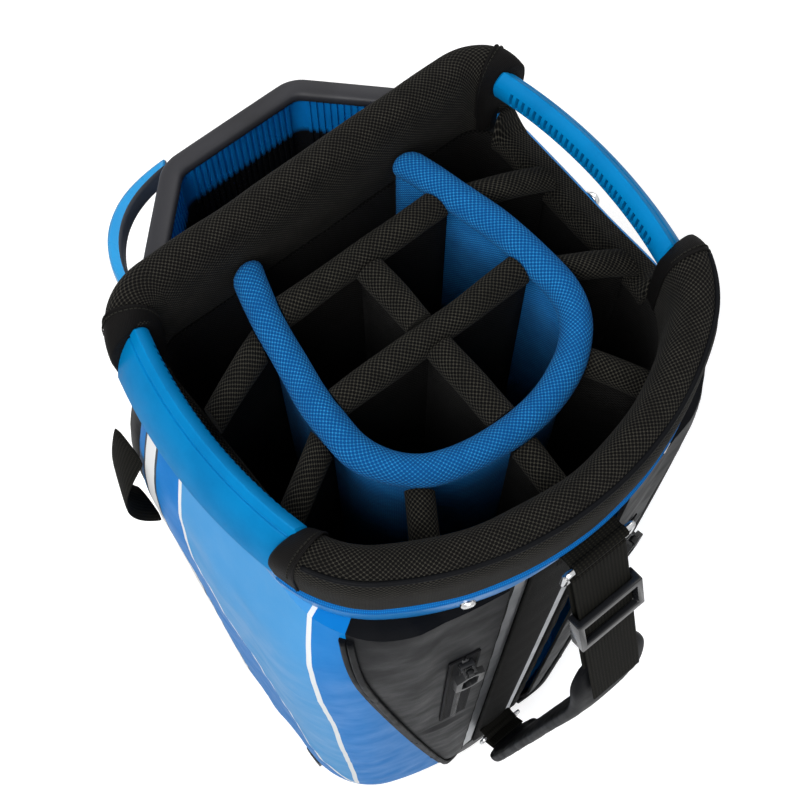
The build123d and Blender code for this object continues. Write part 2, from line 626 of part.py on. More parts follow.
def pocket_form(grow):
    """The outside of both side pockets as one body, drawn out by grow."""
    sections = [Pos(0, 0, z) * pocket_outline(out, grow) for z, out in POCKET_LEVELS]
    return loft(sections, ruled=True)


def rear_seam():
    """Plane of the slanted seam across the left pocket, facing the spine."""
    top = Vector(SEAM_TOP_IN[0] - CUFF_HALF_WIDTH, SEAM_TOP_IN[1] - CUFF_REAR, POCKET_HIGH)
    foot = Vector(-SEAM_FOOT_X, SEAM_FOOT_IN - CUFF_REAR, POCKET_LOW)
    inward = Vector(-top.X, -top.Y, 0)
    return Plane(top, z_dir=(foot - top).cross(inward))


def make_left_pocket():
    """Left side pocket: a gloss panel, a rear gusset, a front gusset and the piping on the rear seam."""
    low, high = POCKET_LOW, POCKET_HIGH
    reach = 2 * CUFF_HALF_WIDTH
    form = pocket_form(0)
    spine_cut = slab(-POCKET_REAR_EDGE, reach, -reach, 0, 0, BAG_HEIGHT)
    right_cut = slab(0, reach, -reach, reach, 0, BAG_HEIGHT)
    core = prism(cuff_face(TUBE_INSET), 0, BAG_HEIGHT) + prism(well_face(SLEEVE_INSET), 0, BAG_HEIGHT)
    hollow = pocket_form(-POCKET_WALL)
    hollow &= slab(-reach, -POCKET_REAR_EDGE - POCKET_WALL, -reach, reach,
                   low + POCKET_WALL, high - POCKET_WALL)
    shell = form - hollow - core - spine_cut - right_cut

    seam = rear_seam()
    half_space = seam.location * Pos(0, 0, BAG_HEIGHT) * Box(
        4 * BAG_HEIGHT, 4 * BAG_HEIGHT, 2 * BAG_HEIGHT)
    ahead = slab(-reach, reach, PANEL_FRONT_Y, reach, 0, BAG_HEIGHT)
    panel = shell - half_space - ahead
    rear = shell & half_space
    front = shell & ahead
    strip = seam.location * Box(4 * BAG_HEIGHT, 4 * BAG_HEIGHT, EDGE_PIPING_WIDTH)
    behind = slab(-reach, -POCKET_REAR_EDGE, -reach, 0, low, high)
    piping = (pocket_form(EDGE_PIPING_PROUD) - form) & strip & behind
    return panel, rear, front, piping


def make_spine():
    """Padded spine between the pockets, with two flat stays let into its back."""
    low, high = POCKET_LOW, POCKET_HIGH
    half = POCKET_REAR_EDGE - FACE_GAP
    panel = prism(cuff_face(TUBE_INSET - SPINE_THICK), low, high) - prism(cuff_face(TUBE_INSET), low, high)
    panel &= slab(-half, half, -2 * CUFF_REAR, 0, low, high)
    back = TUBE_INSET - CUFF_REAR - STAY_THICK + STAY_SEAT
    grooves, stays = [], []
    for x in (-STAY_X, STAY_X):
        wide = STAY_WIDTH / 2
        stays.append(slab(x - wide, x + wide, back, back + STAY_THICK, low, high))
        wide += FACE_GAP
        grooves.append(slab(x - wide, x + wide, back - FACE_GAP, 0, low, high))
    stays = [stay - prism(cuff_face(TUBE_INSET - FACE_GAP), low, high) for stay in stays]
    return panel - grooves, stays


def make_front_pocket(half, front, low, high):
    """A boxed pocket with bevelled edges, open behind where it is sewn to the putter sleeve."""
    def block(inset, back):
        box = slab(-half + inset, half - inset, back, front - inset, low + inset, high - inset)
        edges = box.edges().filter_by(Axis.Z).group_by(Axis.Y)[-1]
        edges += box.faces().sort_by(Axis.Y)[-1].edges().filter_by(Axis.X)
        return chamfer(edges, POCKET_BEVEL)

    seat = prism(well_face(SLEEVE_INSET), 0, BAG_HEIGHT)
    return block(0, WELL_SIDE_Y + POCKET_BEVEL) - block(POCKET_WALL, 0) - seat


# Zips: each is drawn in a frame whose X runs along the zip, Y across it and Z out of the pocket

def make_tape(place, start, end):
    """Zip tape with its coil, from start to end along the zip."""
    length, middle = end - start, (start + end) / 2
    flat = (Align.CENTER, Align.CENTER, Align.MIN)
    tape = Pos(middle, 0, 0) * Box(length, TAPE_WIDTH, TAPE_THICK, align=flat)
    coil = Pos(middle, 0, TAPE_THICK) * Box(length, COIL_WIDTH, COIL_HEIGHT, align=flat)
    return place * (tape + coil)


def make_slider(place, turn):
    """Slider that straddles the coil, with a pin for its pull; turn sets the pin across or along."""
    flat = (Align.CENTER, Align.CENTER, Align.MIN)
    base = TAPE_THICK + SLIDER_CLEAR
    body = Pos(0, 0, base) * Box(SLIDER_LENGTH, SLIDER_WIDTH, SLIDER_HEIGHT, align=flat)
    body -= Box(2 * SLIDER_LENGTH, COIL_WIDTH + 2 * SLIDER_CLEAR,
                2 * (TAPE_THICK + COIL_HEIGHT + SLIDER_CLEAR))
    post_height = PIN_Z + PIN_R - base - SLIDER_HEIGHT
    crown = Pos(0, 0, PIN_Z) * extrude(Plane.YZ * Circle(PIN_R), CROWN_SPAN / 2, both=True)
    for side in (-1, 1):
        post = Box(2 * PIN_R, 3 * PIN_R, post_height, align=flat)
        crown += Pos(side * (CROWN_SPAN / 2 - PIN_R), 0, base + SLIDER_HEIGHT) * post
    return place * (body + Rot(0, 0, turn) * crown)


def make_pull(place, turn, hang):
    """Moulded loop that hangs from the slider's pin, swung out of the pocket's plane by hang."""
    start = EYE_R - EYE_SINK
    length = PULL_LENGTH - start

    def ring_face(inset):
        outline = Rectangle(PULL_WIDTH - 2 * inset, length - 2 * inset)
        return chamfer(outline.vertices(), PULL_BEVEL - inset / 2)

    loop = extrude(ring_face(0) - ring_face(PULL_CORD), PULL_CORD / 2, both=True)
    form = RegularPolygon(EYE_R, EYE_SIDES, major_radius=False, rotation=180 / EYE_SIDES)
    eye = extrude(Plane.YZ * form, CROWN_SPAN / 2 - 3 * PIN_R, both=True)
    bore = extrude(Plane.YZ * Circle(PIN_R + EYE_CLEAR), CROWN_SPAN, both=True)
    pull = eye + Pos(0, -start - length / 2, 0) * loop - bore
    return place * Rot(0, 0, turn) * Pos(0, 0, PIN_Z) * Rot(hang, 0, 0) * pull


def pocket_side(z):
    """Half width of the side pockets' outside at a height on their foot."""
    share = (z - POCKET_LOW) / POCKET_FOOT_RISE
    return CUFF_HALF_WIDTH + POCKET_FOOT[0] + (POCKET_BODY[0] - POCKET_FOOT[0]) * share


def make_zips():
    """The six zips: name, frame, run, turn of the pin and swing of the hanging pull."""
    zips = []
    half_width = pocket_side(SIDE_ZIP_Z)
    lean = atan2(POCKET_BODY[0] - POCKET_FOOT[0], POCKET_FOOT_RISE)
    for name, side in (("left", -1), ("right", 1)):
        place = Plane((side * half_width, SIDE_ZIP_SLIDER_Y, SIDE_ZIP_Z), x_dir=(0, side, 0),
                      z_dir=(side * cos(lean), 0, -sin(lean)))
        run = sorted(side * (y - SIDE_ZIP_SLIDER_Y) for y in SIDE_ZIP_RUN)
        zips.append((name + "_low", place.location, run, 0, -degrees(lean)))
    for name, side in (("left", -1), ("right", 1)):
        flat = rear_flat(side)
        run = (REAR_ZIP_SLIDER_DROP - REAR_ZIP_LENGTH, REAR_ZIP_SLIDER_DROP)
        zips.append((name + "_rear", flat.location, run, -90, 0))
    for name, (half, front, _, high) in (("upper", UPPER_POCKET), ("ball", BALL_POCKET)):
        end = half - FRONT_ZIP_MARGIN
        start = end - FRONT_ZIP_SLIDER_INSET
        place = Plane((start, front, high - FRONT_ZIP_DROP), x_dir=(-1, 0, 0), z_dir=(0, 1, 0))
        zips.append((name, place.location, [start - end, start + end], 0, 0))
    return zips


def rear_flat(side):
    """Frame of a rear zip's slider, on the flat of the pocket's rear that its X lies on."""
    points = pocket_points(POCKET_BODY, 0)
    for (x0, y0), (x1, y1) in zip(points, points[1:]):
        if x1 <= REAR_ZIP_X <= x0 and y0 < 0:
            share = (REAR_ZIP_X - x0) / (x1 - x0)
            out = Vector(y1 - y0, x0 - x1).normalized()
            spot = (side * REAR_ZIP_X, y0 + (y1 - y0) * share, REAR_ZIP_TOP - REAR_ZIP_SLIDER_DROP)
            return Plane(spot, x_dir=(0, 0, 1), z_dir=(side * abs(out.X), -abs(out.Y), 0))
    raise ValueError("the rear zip is off the pocket")


# Shoulder strap: its parts lie in the bag's middle plane and are drawn there as (Y, Z)

def across_bag(face, width):
    """A face drawn in the middle plane, thickened across the bag."""
    return extrude(Plane.YZ * face, width / 2, both=True)


def run_frame(bar, angle):
    """Frame on a ring's lower bar, with X along the webbing away from the bar."""
    return Pos(bar[0], bar[1]) * Rot(0, 0, angle)


def make_ring(bar):
    """Rectangular wire ring, hanging from its upper bar."""
    half = RING_WIDTH / 2 - RING_WIRE_R
    path = Rectangle(2 * half, RING_REACH).wire()
    path = Plane((0, bar[0], bar[1] - RING_REACH / 2), x_dir=(1, 0, 0), z_dir=(0, -1, 0)) * path
    section = Plane(path @ 0, z_dir=path % 0) * Circle(RING_WIRE_R)
    return sweep(section, path, transition=Transition.RIGHT)


def web_turn():
    """A whole turn of webbing round a bar at the origin, with flats above and below."""
    outer, inner = [RegularPolygon(size, FOLD_SIDES, major_radius=False, rotation=180 / FOLD_SIDES)
                    for size in (LAYER_OUT, LAYER_IN)]
    return outer - inner


def make_keeper(bar, face_y):
    """Webbing tab that holds a ring's upper bar: a flat sewn down on the bag and a loop round the bar."""
    loop = Pos(*bar) * web_turn()
    arm = Pos((bar[0] + face_y) / 2, bar[1]) * Rectangle(face_y - bar[0], 2 * WEB_THICK)
    arm -= Pos(*bar) * Circle(LAYER_IN)
    flat = Pos(face_y - WEB_THICK, bar[1] + WEB_THICK) * Rectangle(
        WEB_THICK + KEEPER_SEAT, KEEPER_LENGTH, align=(Align.MIN, Align.MAX))
    return across_bag(loop + arm + flat, KEEPER_WIDTH)


def folded_webbing(right_length, left_length):
    """Webbing folded round a bar at the origin: two layers along +X, to the right and left of it."""
    fold = web_turn()
    fold -= Rectangle(2 * LAYER_OUT, 3 * LAYER_OUT, align=(Align.MIN, Align.CENTER))
    layer = (LAYER_IN + LAYER_OUT) / 2
    right = Pos(right_length / 2, -layer) * Rectangle(right_length, WEB_THICK)
    left = Pos(left_length / 2, layer) * Rectangle(left_length, WEB_THICK)
    return fold + right + left


def make_strap():
    """Upper webbing with its free tail, shoulder pad and lower webbing."""
    upper = run_frame((UPPER_BAR[0], UPPER_BAR[1] - RING_REACH), -90 - RUN_ANGLE)
    lower = run_frame((LOWER_BAR[0], LOWER_BAR[1] - RING_REACH), 90 + RETURN_ANGLE)
    layer = (LAYER_IN + LAYER_OUT) / 2 + STRAP_PAD_SET_BACK
    run = across_bag(upper * folded_webbing(TAIL_LENGTH, RUN_LENGTH), WEB_WIDTH)
    back = across_bag(lower * folded_webbing(RETURN_LENGTH, RETURN_LENGTH), WEB_WIDTH)
    route = [upper * Pos(RUN_LENGTH, layer), upper * Pos(RUN_LENGTH + STRAP_SHOULDER, layer),
             lower * Pos(STRAP_HEEL, 0), lower * Pos(RETURN_LENGTH, 0)]
    points = [(0, spot.position.X, spot.position.Y) for spot in route]
    path = FilletPolyline(*points, radius=[STRAP_SHOULDER_R, STRAP_HEEL_R]).wire()
    section = chamfer(Rectangle(STRAP_PAD_WIDTH, STRAP_PAD_THICK).vertices(), STRAP_PAD_BEVEL)
    return run, sweep(Plane(path @ 0, x_dir=(1, 0, 0), z_dir=path % 0) * section, path), back


def make_adjuster():
    """Three-bar adjuster: a crossbar between the two layers, rails beside them and two bars outside."""
    upper = run_frame((UPPER_BAR[0], UPPER_BAR[1] - RING_REACH), -90 - RUN_ANGLE) * Pos(ADJUSTER_AT, 0)
    half = LAYER_IN - ADJUSTER_CLEAR
    face = LAYER_OUT + ADJUSTER_CLEAR
    top = face + ADJUSTER_PROUD
    inner = WEB_WIDTH / 2 + ADJUSTER_CLEAR
    crossbar = across_bag(upper * Rectangle(ADJUSTER_CROSSBAR, 2 * half), 2 * inner + ADJUSTER_RAIL)
    bars = []
    for end in (-1, 1):
        spot = Pos(end * (ADJUSTER_LENGTH - ADJUSTER_BAR) / 2, -(face + top) / 2)
        bar = upper * spot * Rectangle(ADJUSTER_BAR, ADJUSTER_PROUD)
        bars.append(across_bag(bar, 2 * inner + ADJUSTER_RAIL))
    side = Pos(0, (half - top) / 2) * Rectangle(ADJUSTER_LENGTH, half + top)
    rail = extrude(Plane.YZ.offset(inner) * (upper * side), ADJUSTER_RAIL)
    return crossbar + bars + rail + mirror(rail, about=Plane.YZ)


# Rain-hood studs

def make_studs():
    """Press studs round the band: two at the rear and one below each handle."""
    stud = extrude(RegularPolygon(STUD_R, STUD_SIDES), STUD_FLANGE)
    stud += extrude(RegularPolygon(STUD_CAP_R, STUD_SIDES), STUD_HEIGHT)
    stud = chamfer(stud.edges().group_by(Axis.Z)[-1], STUD_BEVEL)
    rear_r = CUFF_REAR_R - BAND_INSET
    swing = asin(STUD_REAR_X / rear_r)
    rear_y = CUFF_REAR_R - CUFF_REAR - rear_r * cos(swing)
    places = [Plane((STUD_REAR_X, rear_y, BAG_HEIGHT - STUD_DROP), z_dir=(sin(swing), -cos(swing), 0)),
              Plane((CUFF_HALF_WIDTH - BAND_INSET, STUD_SIDE_Y, BAG_HEIGHT - STUD_DROP), z_dir=(1, 0, 0))]
    right = [place.location * stud for place in places]
    return right + [mirror(piece, about=Plane.YZ) for piece in right]


def build():
    """Every node of the bag, by name."""
    nodes = {"base_tray": make_base_tray(), "body_tube": make_body_tube()}
    frame = make_cuff_frame()
    nodes["cuff_frame"] = frame
    nodes["cuff_pad_front"], nodes["cuff_pad_rear"] = make_cuff_pads(frame)
    nodes["cuff_bindings"] = make_cuff_bindings()
    nodes["cuff_band"] = make_cuff_band()
    nodes["cuff_piping"] = make_cuff_piping()
    nodes["handle_right"], nodes["handle_left"] = both_sides(make_handle())
    nodes["putter_collar"] = make_putter_collar()
    nodes["putter_liner"] = make_putter_liner()
    nodes["putter_sleeve"] = make_putter_sleeve()
    nodes["towel_loop"] = make_towel_loop()
    nodes["divider_u_roll"], nodes["divider_u_sheet"] = make_u_divider()
    nodes.update(make_straight_dividers())
    panel, rear, front, piping = make_left_pocket()
    for name, piece in (("side_panel", panel), ("rear_gusset", rear), ("front_gusset", front)):
        nodes[name + "_left"], nodes[name + "_right"] = both_sides(piece)
    nodes["edge_pipings"] = list(both_sides(piping))
    nodes["spine_panel"], nodes["spine_stays"] = make_spine()
    nodes["upper_pocket"] = make_front_pocket(*UPPER_POCKET)
    nodes["ball_pocket"] = make_front_pocket(*BALL_POCKET)
    tapes = []
    for name, place, run, turn, hang in make_zips():
        tapes.append(make_tape(place, *run))
        nodes["zip_slider_" + name] = make_slider(place, turn)
        nodes["zip_pull_" + name] = make_pull(place, turn, hang)
    nodes["zip_tapes"] = tapes
    nodes["strap_keeper_upper"] = make_keeper(UPPER_BAR, BAND_INSET - CUFF_REAR) - nodes["cuff_band"]
    spine_y = TUBE_INSET - SPINE_THICK - CUFF_REAR
    nodes["strap_keeper_lower"] = make_keeper(LOWER_BAR, spine_y) - nodes["spine_panel"]
    nodes["strap_ring_upper"] = make_ring(UPPER_BAR)
    nodes["strap_ring_lower"] = make_ring(LOWER_BAR)
    nodes["strap_webbing_upper"], nodes["strap_pad"], nodes["strap_webbing_lower"] = make_strap()
    nodes["strap_adjuster"] = make_adjuster()
    nodes["hood_studs"] = make_studs()
    return nodes


os.makedirs("parts", exist_ok=True)
for node_name, shape in build().items():
    pieces = shape if isinstance(shape, list) else [shape]
    solids = [solid for piece in pieces for solid in piece.solids()]
    export_step(solids[0] if len(solids) == 1 else Compound(children=solids), f"parts/{node_name}.step")
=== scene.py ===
"""Golf cart bag: padded divided top, moulded handles, putter well, zipped pockets and shoulder strap.

Sizes below are in millimetres in the part's frame, and become metres when a mesh is made.
"""
from contextlib import contextmanager
from math import asin, atan2, cos, exp, pi, radians, sin, sqrt

import bmesh
import bpy
import numpy as np
from mathutils import Matrix, Vector, noise
from mathutils.kdtree import KDTree


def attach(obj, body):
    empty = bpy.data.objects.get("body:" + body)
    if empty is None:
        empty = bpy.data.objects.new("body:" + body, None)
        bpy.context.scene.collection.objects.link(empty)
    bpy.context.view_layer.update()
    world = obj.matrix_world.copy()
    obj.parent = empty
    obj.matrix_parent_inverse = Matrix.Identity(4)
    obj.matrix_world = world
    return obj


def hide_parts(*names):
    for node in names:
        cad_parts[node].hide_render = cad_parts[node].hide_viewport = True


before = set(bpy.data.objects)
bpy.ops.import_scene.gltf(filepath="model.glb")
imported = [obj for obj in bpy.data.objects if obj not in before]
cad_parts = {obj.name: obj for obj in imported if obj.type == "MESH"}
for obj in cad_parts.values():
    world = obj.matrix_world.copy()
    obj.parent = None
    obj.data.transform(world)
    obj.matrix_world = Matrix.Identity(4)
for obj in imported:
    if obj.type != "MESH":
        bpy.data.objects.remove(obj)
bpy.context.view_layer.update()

MM = 0.001
WOBBLE_RUN = 34.0  # distance over which sewn cloth drifts out of line
noise.seed_set(1)  # vector noise is otherwise drawn from the clock, and would differ each run

# Cuff plan: half width, front, rear, corner radius, side radius, rear radius
CUFF = (141.0, 125.0, 125.0, 42.0, 75.0, 190.0)
CREST = 900.0
PAD_HEM, PAD_INNER_HEM = 848.3, 841.0
GAP_FRONT, GAP_REAR, SILL = 95.0, -42.0, 836.0
BAND_LOW, BAND_INSET = 813.3, 15.7  # the inset runs from the cuff outline to the band's inner face
BAND_DROP, BAND_TUCK = 4.0, 4.0  # how far the band lies below the sill under a handle, and runs on below the rolls
FLOOR = 8.3

# Dividers
U_LINE = dict(half=71.5, rear=62.0, side_r=45.0, rear_r=110.0, front_half=52.0, front=99.7)
U_ROLL = (9.0, 867.0)
CROSS_ROLL = (8.5, 863.0)
RING_ROLL = (8.0, 858.0)
ROLL_FOOT = 6.5
RING_DROOP = 6.0  # outer dividers sag this far towards the cuff
SHEET_THICK, SHEET_STOP, ROLL_STOP = 1.7, 1.4, 0.3  # a sheet stops short of a neighbour's middle, a roll of its side
CROSS_Y = (66.0, 7.0)
RING_SEATS = ((72.0, 60.0, -20.0), (72.0, 0.0, -28.0), (54.0, -50.0, -58.0))

# Putter well, as a half hexagon
WELL = dict(front=192.0, front_half=46.0, side_half=98.0, side_y=140.0, front_r=24.0, side_r=18.0)
SLEEVE_TOP = 770.5

# Side pockets: height, half width, front and rear of the outside
POCKET_LEVELS = ((58.0, 138.0, 128.0, 112.0), (150.0, 157.0, 141.0, 122.0),
                 (690.0, 157.0, 141.0, 122.0), (811.0, 138.0, 128.0, 121.0))
POCKET_RADII = (60.0, 62.0, 300.0)
PANEL_FRONT_Y = 96.0
SLEEVE_FACE_Y = 180.2  # where the sides of the front pockets meet the sleeve
REAR_EDGE = 44.0
SEAM_TOP, SEAM_FOOT = Vector((-121.0, -77.0, 811.0)), Vector((-40.0, -108.0, 58.0))


# Meshes

def new_piece(name, mesh, *materials):
    """An object for a mesh, at the origin."""
    piece = bpy.data.objects.new(name, mesh)
    bpy.context.scene.collection.objects.link(piece)
    for material in materials:
        mesh.materials.append(material)
    return piece


def use(piece):
    """Makes a piece the only selected and active one."""
    bpy.ops.object.select_all(action="DESELECT")
    piece.select_set(True)
    bpy.context.view_layer.objects.active = piece


def smooth(piece, angle=40):
    """Shades a piece smooth except across edges sharper than an angle in degrees."""
    use(piece)
    bpy.ops.object.shade_smooth_by_angle(angle=radians(angle))
    return piece


def modify(piece, kind, **settings):
    """Adds a modifier and applies it."""
    use(piece)
    step = piece.modifiers.new(kind.lower(), kind)
    for key, value in settings.items():
        setattr(step, key, value)
    bpy.ops.object.modifier_apply(modifier=step.name)
    return piece


@contextmanager
def shaping(mesh):
    """Opens a mesh for editing and writes it back."""
    form = bmesh.new()
    form.from_mesh(mesh)
    yield form
    form.to_mesh(mesh)
    form.free()


def lay_faces(form, uv, rings, along, across, round_rows, round_cols):
    """Joins rows of vertices with four-sided faces, with UV from the runs along and across them."""
    count, width = len(rings), len(rings[0])
    for i in range(count if round_rows else count - 1):
        for j in range(width if round_cols else width - 1):
            k, m = (i + 1) % count, (j + 1) % width
            face = form.faces.new((rings[i][j], rings[k][j], rings[k][m], rings[i][m]))
            face.smooth = True
            for loop, (a, b) in zip(face.loops, ((i, j), (i + 1, j), (i + 1, j + 1), (i, j + 1))):
                loop[uv].uv = (along[a], across[b])


def cloth_grid(name, rows, material, round_rows=False, round_cols=False, cap=False, wobble=0.0):
    """A skin over rows of points in millimetres; its UV map runs along and across the rows in metres."""
    mesh = bpy.data.meshes.new(name)
    count, width = len(rows), len(rows[0])
    along, across = [0.0], [0.0]
    for i in range(count):
        step = Vector(rows[(i + 1) % count][width // 2]) - Vector(rows[i][width // 2])
        along.append(along[-1] + step.length * MM)
    mid_row = rows[count // 2]
    for j in range(width):
        step = Vector(mid_row[(j + 1) % width]) - Vector(mid_row[j])
        across.append(across[-1] + step.length * MM)
    with shaping(mesh) as form:
        uv = form.loops.layers.uv.new("cloth")
        spots = []
        for row in rows:
            line = [Vector(point) for point in row]
            if wobble:
                line = [spot + noise.noise_vector(spot / WOBBLE_RUN) * wobble for spot in line]
            spots.append([form.verts.new(spot * MM) for spot in line])
        lay_faces(form, uv, spots, along, across, round_rows, round_cols)
        if cap:
            for row, line in ((rows[0], spots[0]), (rows[-1], spots[-1])):
                face = form.faces.new(line)
                for loop, point in zip(face.loops, row):
                    loop[uv].uv = (point[0] * MM + point[1] * MM, point[2] * MM)
        bmesh.ops.recalc_face_normals(form, faces=form.faces)
    return smooth(new_piece(name, mesh, material), 50)


def keep_side(piece, point, normal):
    """Cuts a piece by a plane, in millimetres, and drops the side that the normal points to."""
    with shaping(piece.data) as form:
        everything = form.verts[:] + form.edges[:] + form.faces[:]
        bmesh.ops.bisect_plane(form, geom=everything, plane_co=Vector(point) * MM, plane_no=Vector(normal),
                               clear_outer=True, dist=1e-6)
    return piece


def mirrored(piece, name):
    """A mirror image of a piece across the bag's middle plane, with its own mesh."""
    mesh = piece.data.copy()
    with shaping(mesh) as form:
        bmesh.ops.scale(form, vec=(-1, 1, 1), verts=form.verts)
        bmesh.ops.reverse_faces(form, faces=form.faces)
    return new_piece(name, mesh)


def joined(pieces, name):
    """Several pieces as one object."""
    bpy.ops.object.select_all(action="DESELECT")
    for piece in pieces:
        piece.select_set(True)
    bpy.context.view_layer.objects.active = pieces[0]
    bpy.ops.object.join()
    pieces[0].name = name
    return pieces[0]


def settle(piece, body, slot, *nodes):
    """Puts a piece on a body and hides the nodes it stands for; the slot is not used."""
    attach(piece, body)
    if nodes:
        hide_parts(*nodes)
    return piece


# Lines in plan

STEPS = (16, 14, 24, 16, 24)  # samples along the front, corner, side, side arc and rear arc of half an outline


def half_outline(half, front, rear, corner_r, side_r, rear_r):
    """Right half of a plan outline from the middle of the front to the middle of the rear: x, y and normal."""
    rear_cy = rear_r - rear
    side_cx = half - side_r
    side_cy = rear_cy - sqrt((rear_r - side_r) ** 2 - side_cx ** 2)
    turn = atan2(rear_cy - side_cy, side_cx)
    spots = [((half - corner_r) * i / STEPS[0], front, 0.0, 1.0) for i in range(STEPS[0])]

    def arc(cx, cy, radius, begin, end, steps):
        """Adds points along an arc, without its end."""
        for i in range(steps):
            angle = begin + (end - begin) * i / steps
            spots.append((cx + radius * cos(angle), cy + radius * sin(angle), cos(angle), sin(angle)))

    arc(half - corner_r, front - corner_r, corner_r, pi / 2, 0, STEPS[1])
    run = front - corner_r - side_cy
    spots.extend((half, front - corner_r - run * i / STEPS[2], 1.0, 0.0) for i in range(STEPS[2]))
    arc(side_cx, side_cy, side_r, 0, -turn, STEPS[3])
    arc(0, rear_cy, rear_r, -turn, -pi / 2, STEPS[4])
    spots.append((0.0, -rear, 0.0, -1.0))
    return spots


def outline(dims):
    """A whole plan outline."""
    right = half_outline(*dims)
    return right + [(-x, y, -nx, ny) for x, y, nx, ny in right[-2:0:-1]]


def arc_points(cx, cy, radius, begin, end, steps):
    """Points along an arc, both ends included; angles in radians."""
    return [(cx + radius * cos(begin + (end - begin) * i / steps),
             cy + radius * sin(begin + (end - begin) * i / steps)) for i in range(steps + 1)]


def mirror_line(line):
    """A line that ends on the middle plane, followed by its mirror image."""
    return line + [(-x, y) for x, y in reversed(line[:-1])]


def front_run(inset, start_y=GAP_FRONT):
    """Plan line of the front roll at an inset, cut square at the handle gaps."""
    half, front, _, corner_r = CUFF[:4]
    radius = corner_r - inset
    cx, cy = half - corner_r, front - corner_r
    line = arc_points(cx, cy, radius, asin((start_y - cy) / radius), pi / 2, 20)
    line += [(cx * (1 - i / 16), front - inset) for i in range(1, 17)]
    return mirror_line(line)


def rear_run(inset, start_y=GAP_REAR):
    """Plan line of the rear roll at an inset, cut square at the handle gaps."""
    half, _, rear, _, side_r, rear_r = CUFF
    cx, ry = half - side_r, rear_r - rear
    cy = ry - sqrt((rear_r - side_r) ** 2 - cx ** 2)
    turn = atan2(ry - cy, cx)
    line = arc_points(cx, cy, side_r - inset, asin((start_y - cy) / (side_r - inset)), -turn, 20)
    line += arc_points(0, ry, rear_r - inset, -turn, -pi / 2, 24)[1:]
    return mirror_line(line)


def u_run(offset, front=U_LINE["front"]):
    """The U divider's plan line, drawn outwards by an offset."""
    side_cx = U_LINE["half"] - U_LINE["side_r"]
    rear_cy = U_LINE["rear_r"] - U_LINE["rear"]
    side_cy = rear_cy - sqrt((U_LINE["rear_r"] - U_LINE["side_r"]) ** 2 - side_cx ** 2)
    turn = atan2(rear_cy - side_cy, side_cx)
    lean = U_LINE["half"] - U_LINE["front_half"]
    rise = 100.0 - side_cy
    arm_r = (lean ** 2 + rise ** 2) / (2 * lean)
    lift = asin((front - side_cy) / (arm_r + offset))
    line = arc_points(U_LINE["half"] - arm_r, side_cy, arm_r + offset, lift, 0, 22)
    line += arc_points(side_cx, side_cy, U_LINE["side_r"] + offset, 0, -turn, 14)[1:]
    line += arc_points(0, rear_cy, U_LINE["rear_r"] + offset, -turn, -pi / 2, 14)[1:]
    return mirror_line(line)


def rounded_line(points, radii, steps=8):
    """A run of straight lines with its inner corners rounded."""
    line = [Vector(points[0])]
    for before, corner, after, radius in zip(points, points[1:], points[2:], radii):
        corner = Vector(corner)
        back = (Vector(before) - corner).normalized()
        ahead = (Vector(after) - corner).normalized()
        half_angle = back.angle(ahead) / 2
        reach = radius / sin(half_angle) * cos(half_angle)
        centre = corner + (back + ahead).normalized() * radius / sin(half_angle)
        first, last = corner + back * reach - centre, corner + ahead * reach - centre
        turn = first.angle(last)
        for i in range(steps + 1):
            share = i / steps
            line.append(centre + (first * sin((1 - share) * turn) + last * sin(share * turn)) / sin(turn))
    line.append(Vector(points[-1]))
    return line


def well_run(inset, back):
    """Plan line round the putter well at an inset, from the cuff on the right to the cuff on the left."""
    slope = atan2(WELL["front"] - WELL["side_y"], WELL["side_half"] - WELL["front_half"])
    front_half = WELL["front_half"] - inset * (1 - cos(slope)) / sin(slope)
    side_y = WELL["side_y"] - inset * (1 - sin(slope)) / cos(slope)
    side, front = WELL["side_half"] - inset, WELL["front"] - inset
    corners = [(side, back), (side, side_y), (front_half, front),
               (-front_half, front), (-side, side_y), (-side, back)]
    near, far = WELL["side_r"] - inset, WELL["front_r"] - inset
    return [tuple(p) for p in rounded_line(corners, (near, far, far, near))]


def pocket_levels(z):
    """Half width, front and rear of the side pockets at a height, eased between the levels."""
    for low, high in zip(POCKET_LEVELS, POCKET_LEVELS[1:]):
        if z <= high[0]:
            share = max(0.0, (z - low[0]) / (high[0] - low[0]))
            if high[0] == POCKET_LEVELS[1][0]:
                share = sin(share * pi / 2)
            elif low[0] == POCKET_LEVELS[2][0]:
                share = 1 - cos(share * pi / 2)
            return [a + (b - a) * share for a, b in zip(low[1:], high[1:])]
    return POCKET_LEVELS[-1][1:]


def sections(profile, run):
    """Rows of points for a profile of (offset, height) pairs carried along a plan line drawn at each offset."""
    lines = [run(offset) for offset, _ in profile]
    return [[(*line[k], z) for line, (_, z) in zip(lines, profile)] for k in range(len(lines[0]))]


def densely(line, step):
    """A line of points with more set along it, about a step apart."""
    points = []
    for a, b in zip(line, line[1:]):
        steps = max(1, int((b - a).length / step))
        points += [a + (b - a) * i / steps for i in range(steps)]
    return points + [line[-1]]


def out_of(line, i):
    """Direction square to a plane line at one of its points."""
    run = (line[min(i + 1, len(line) - 1)] - line[max(i - 1, 0)]).normalized()
    return Vector((-run.y, run.x))


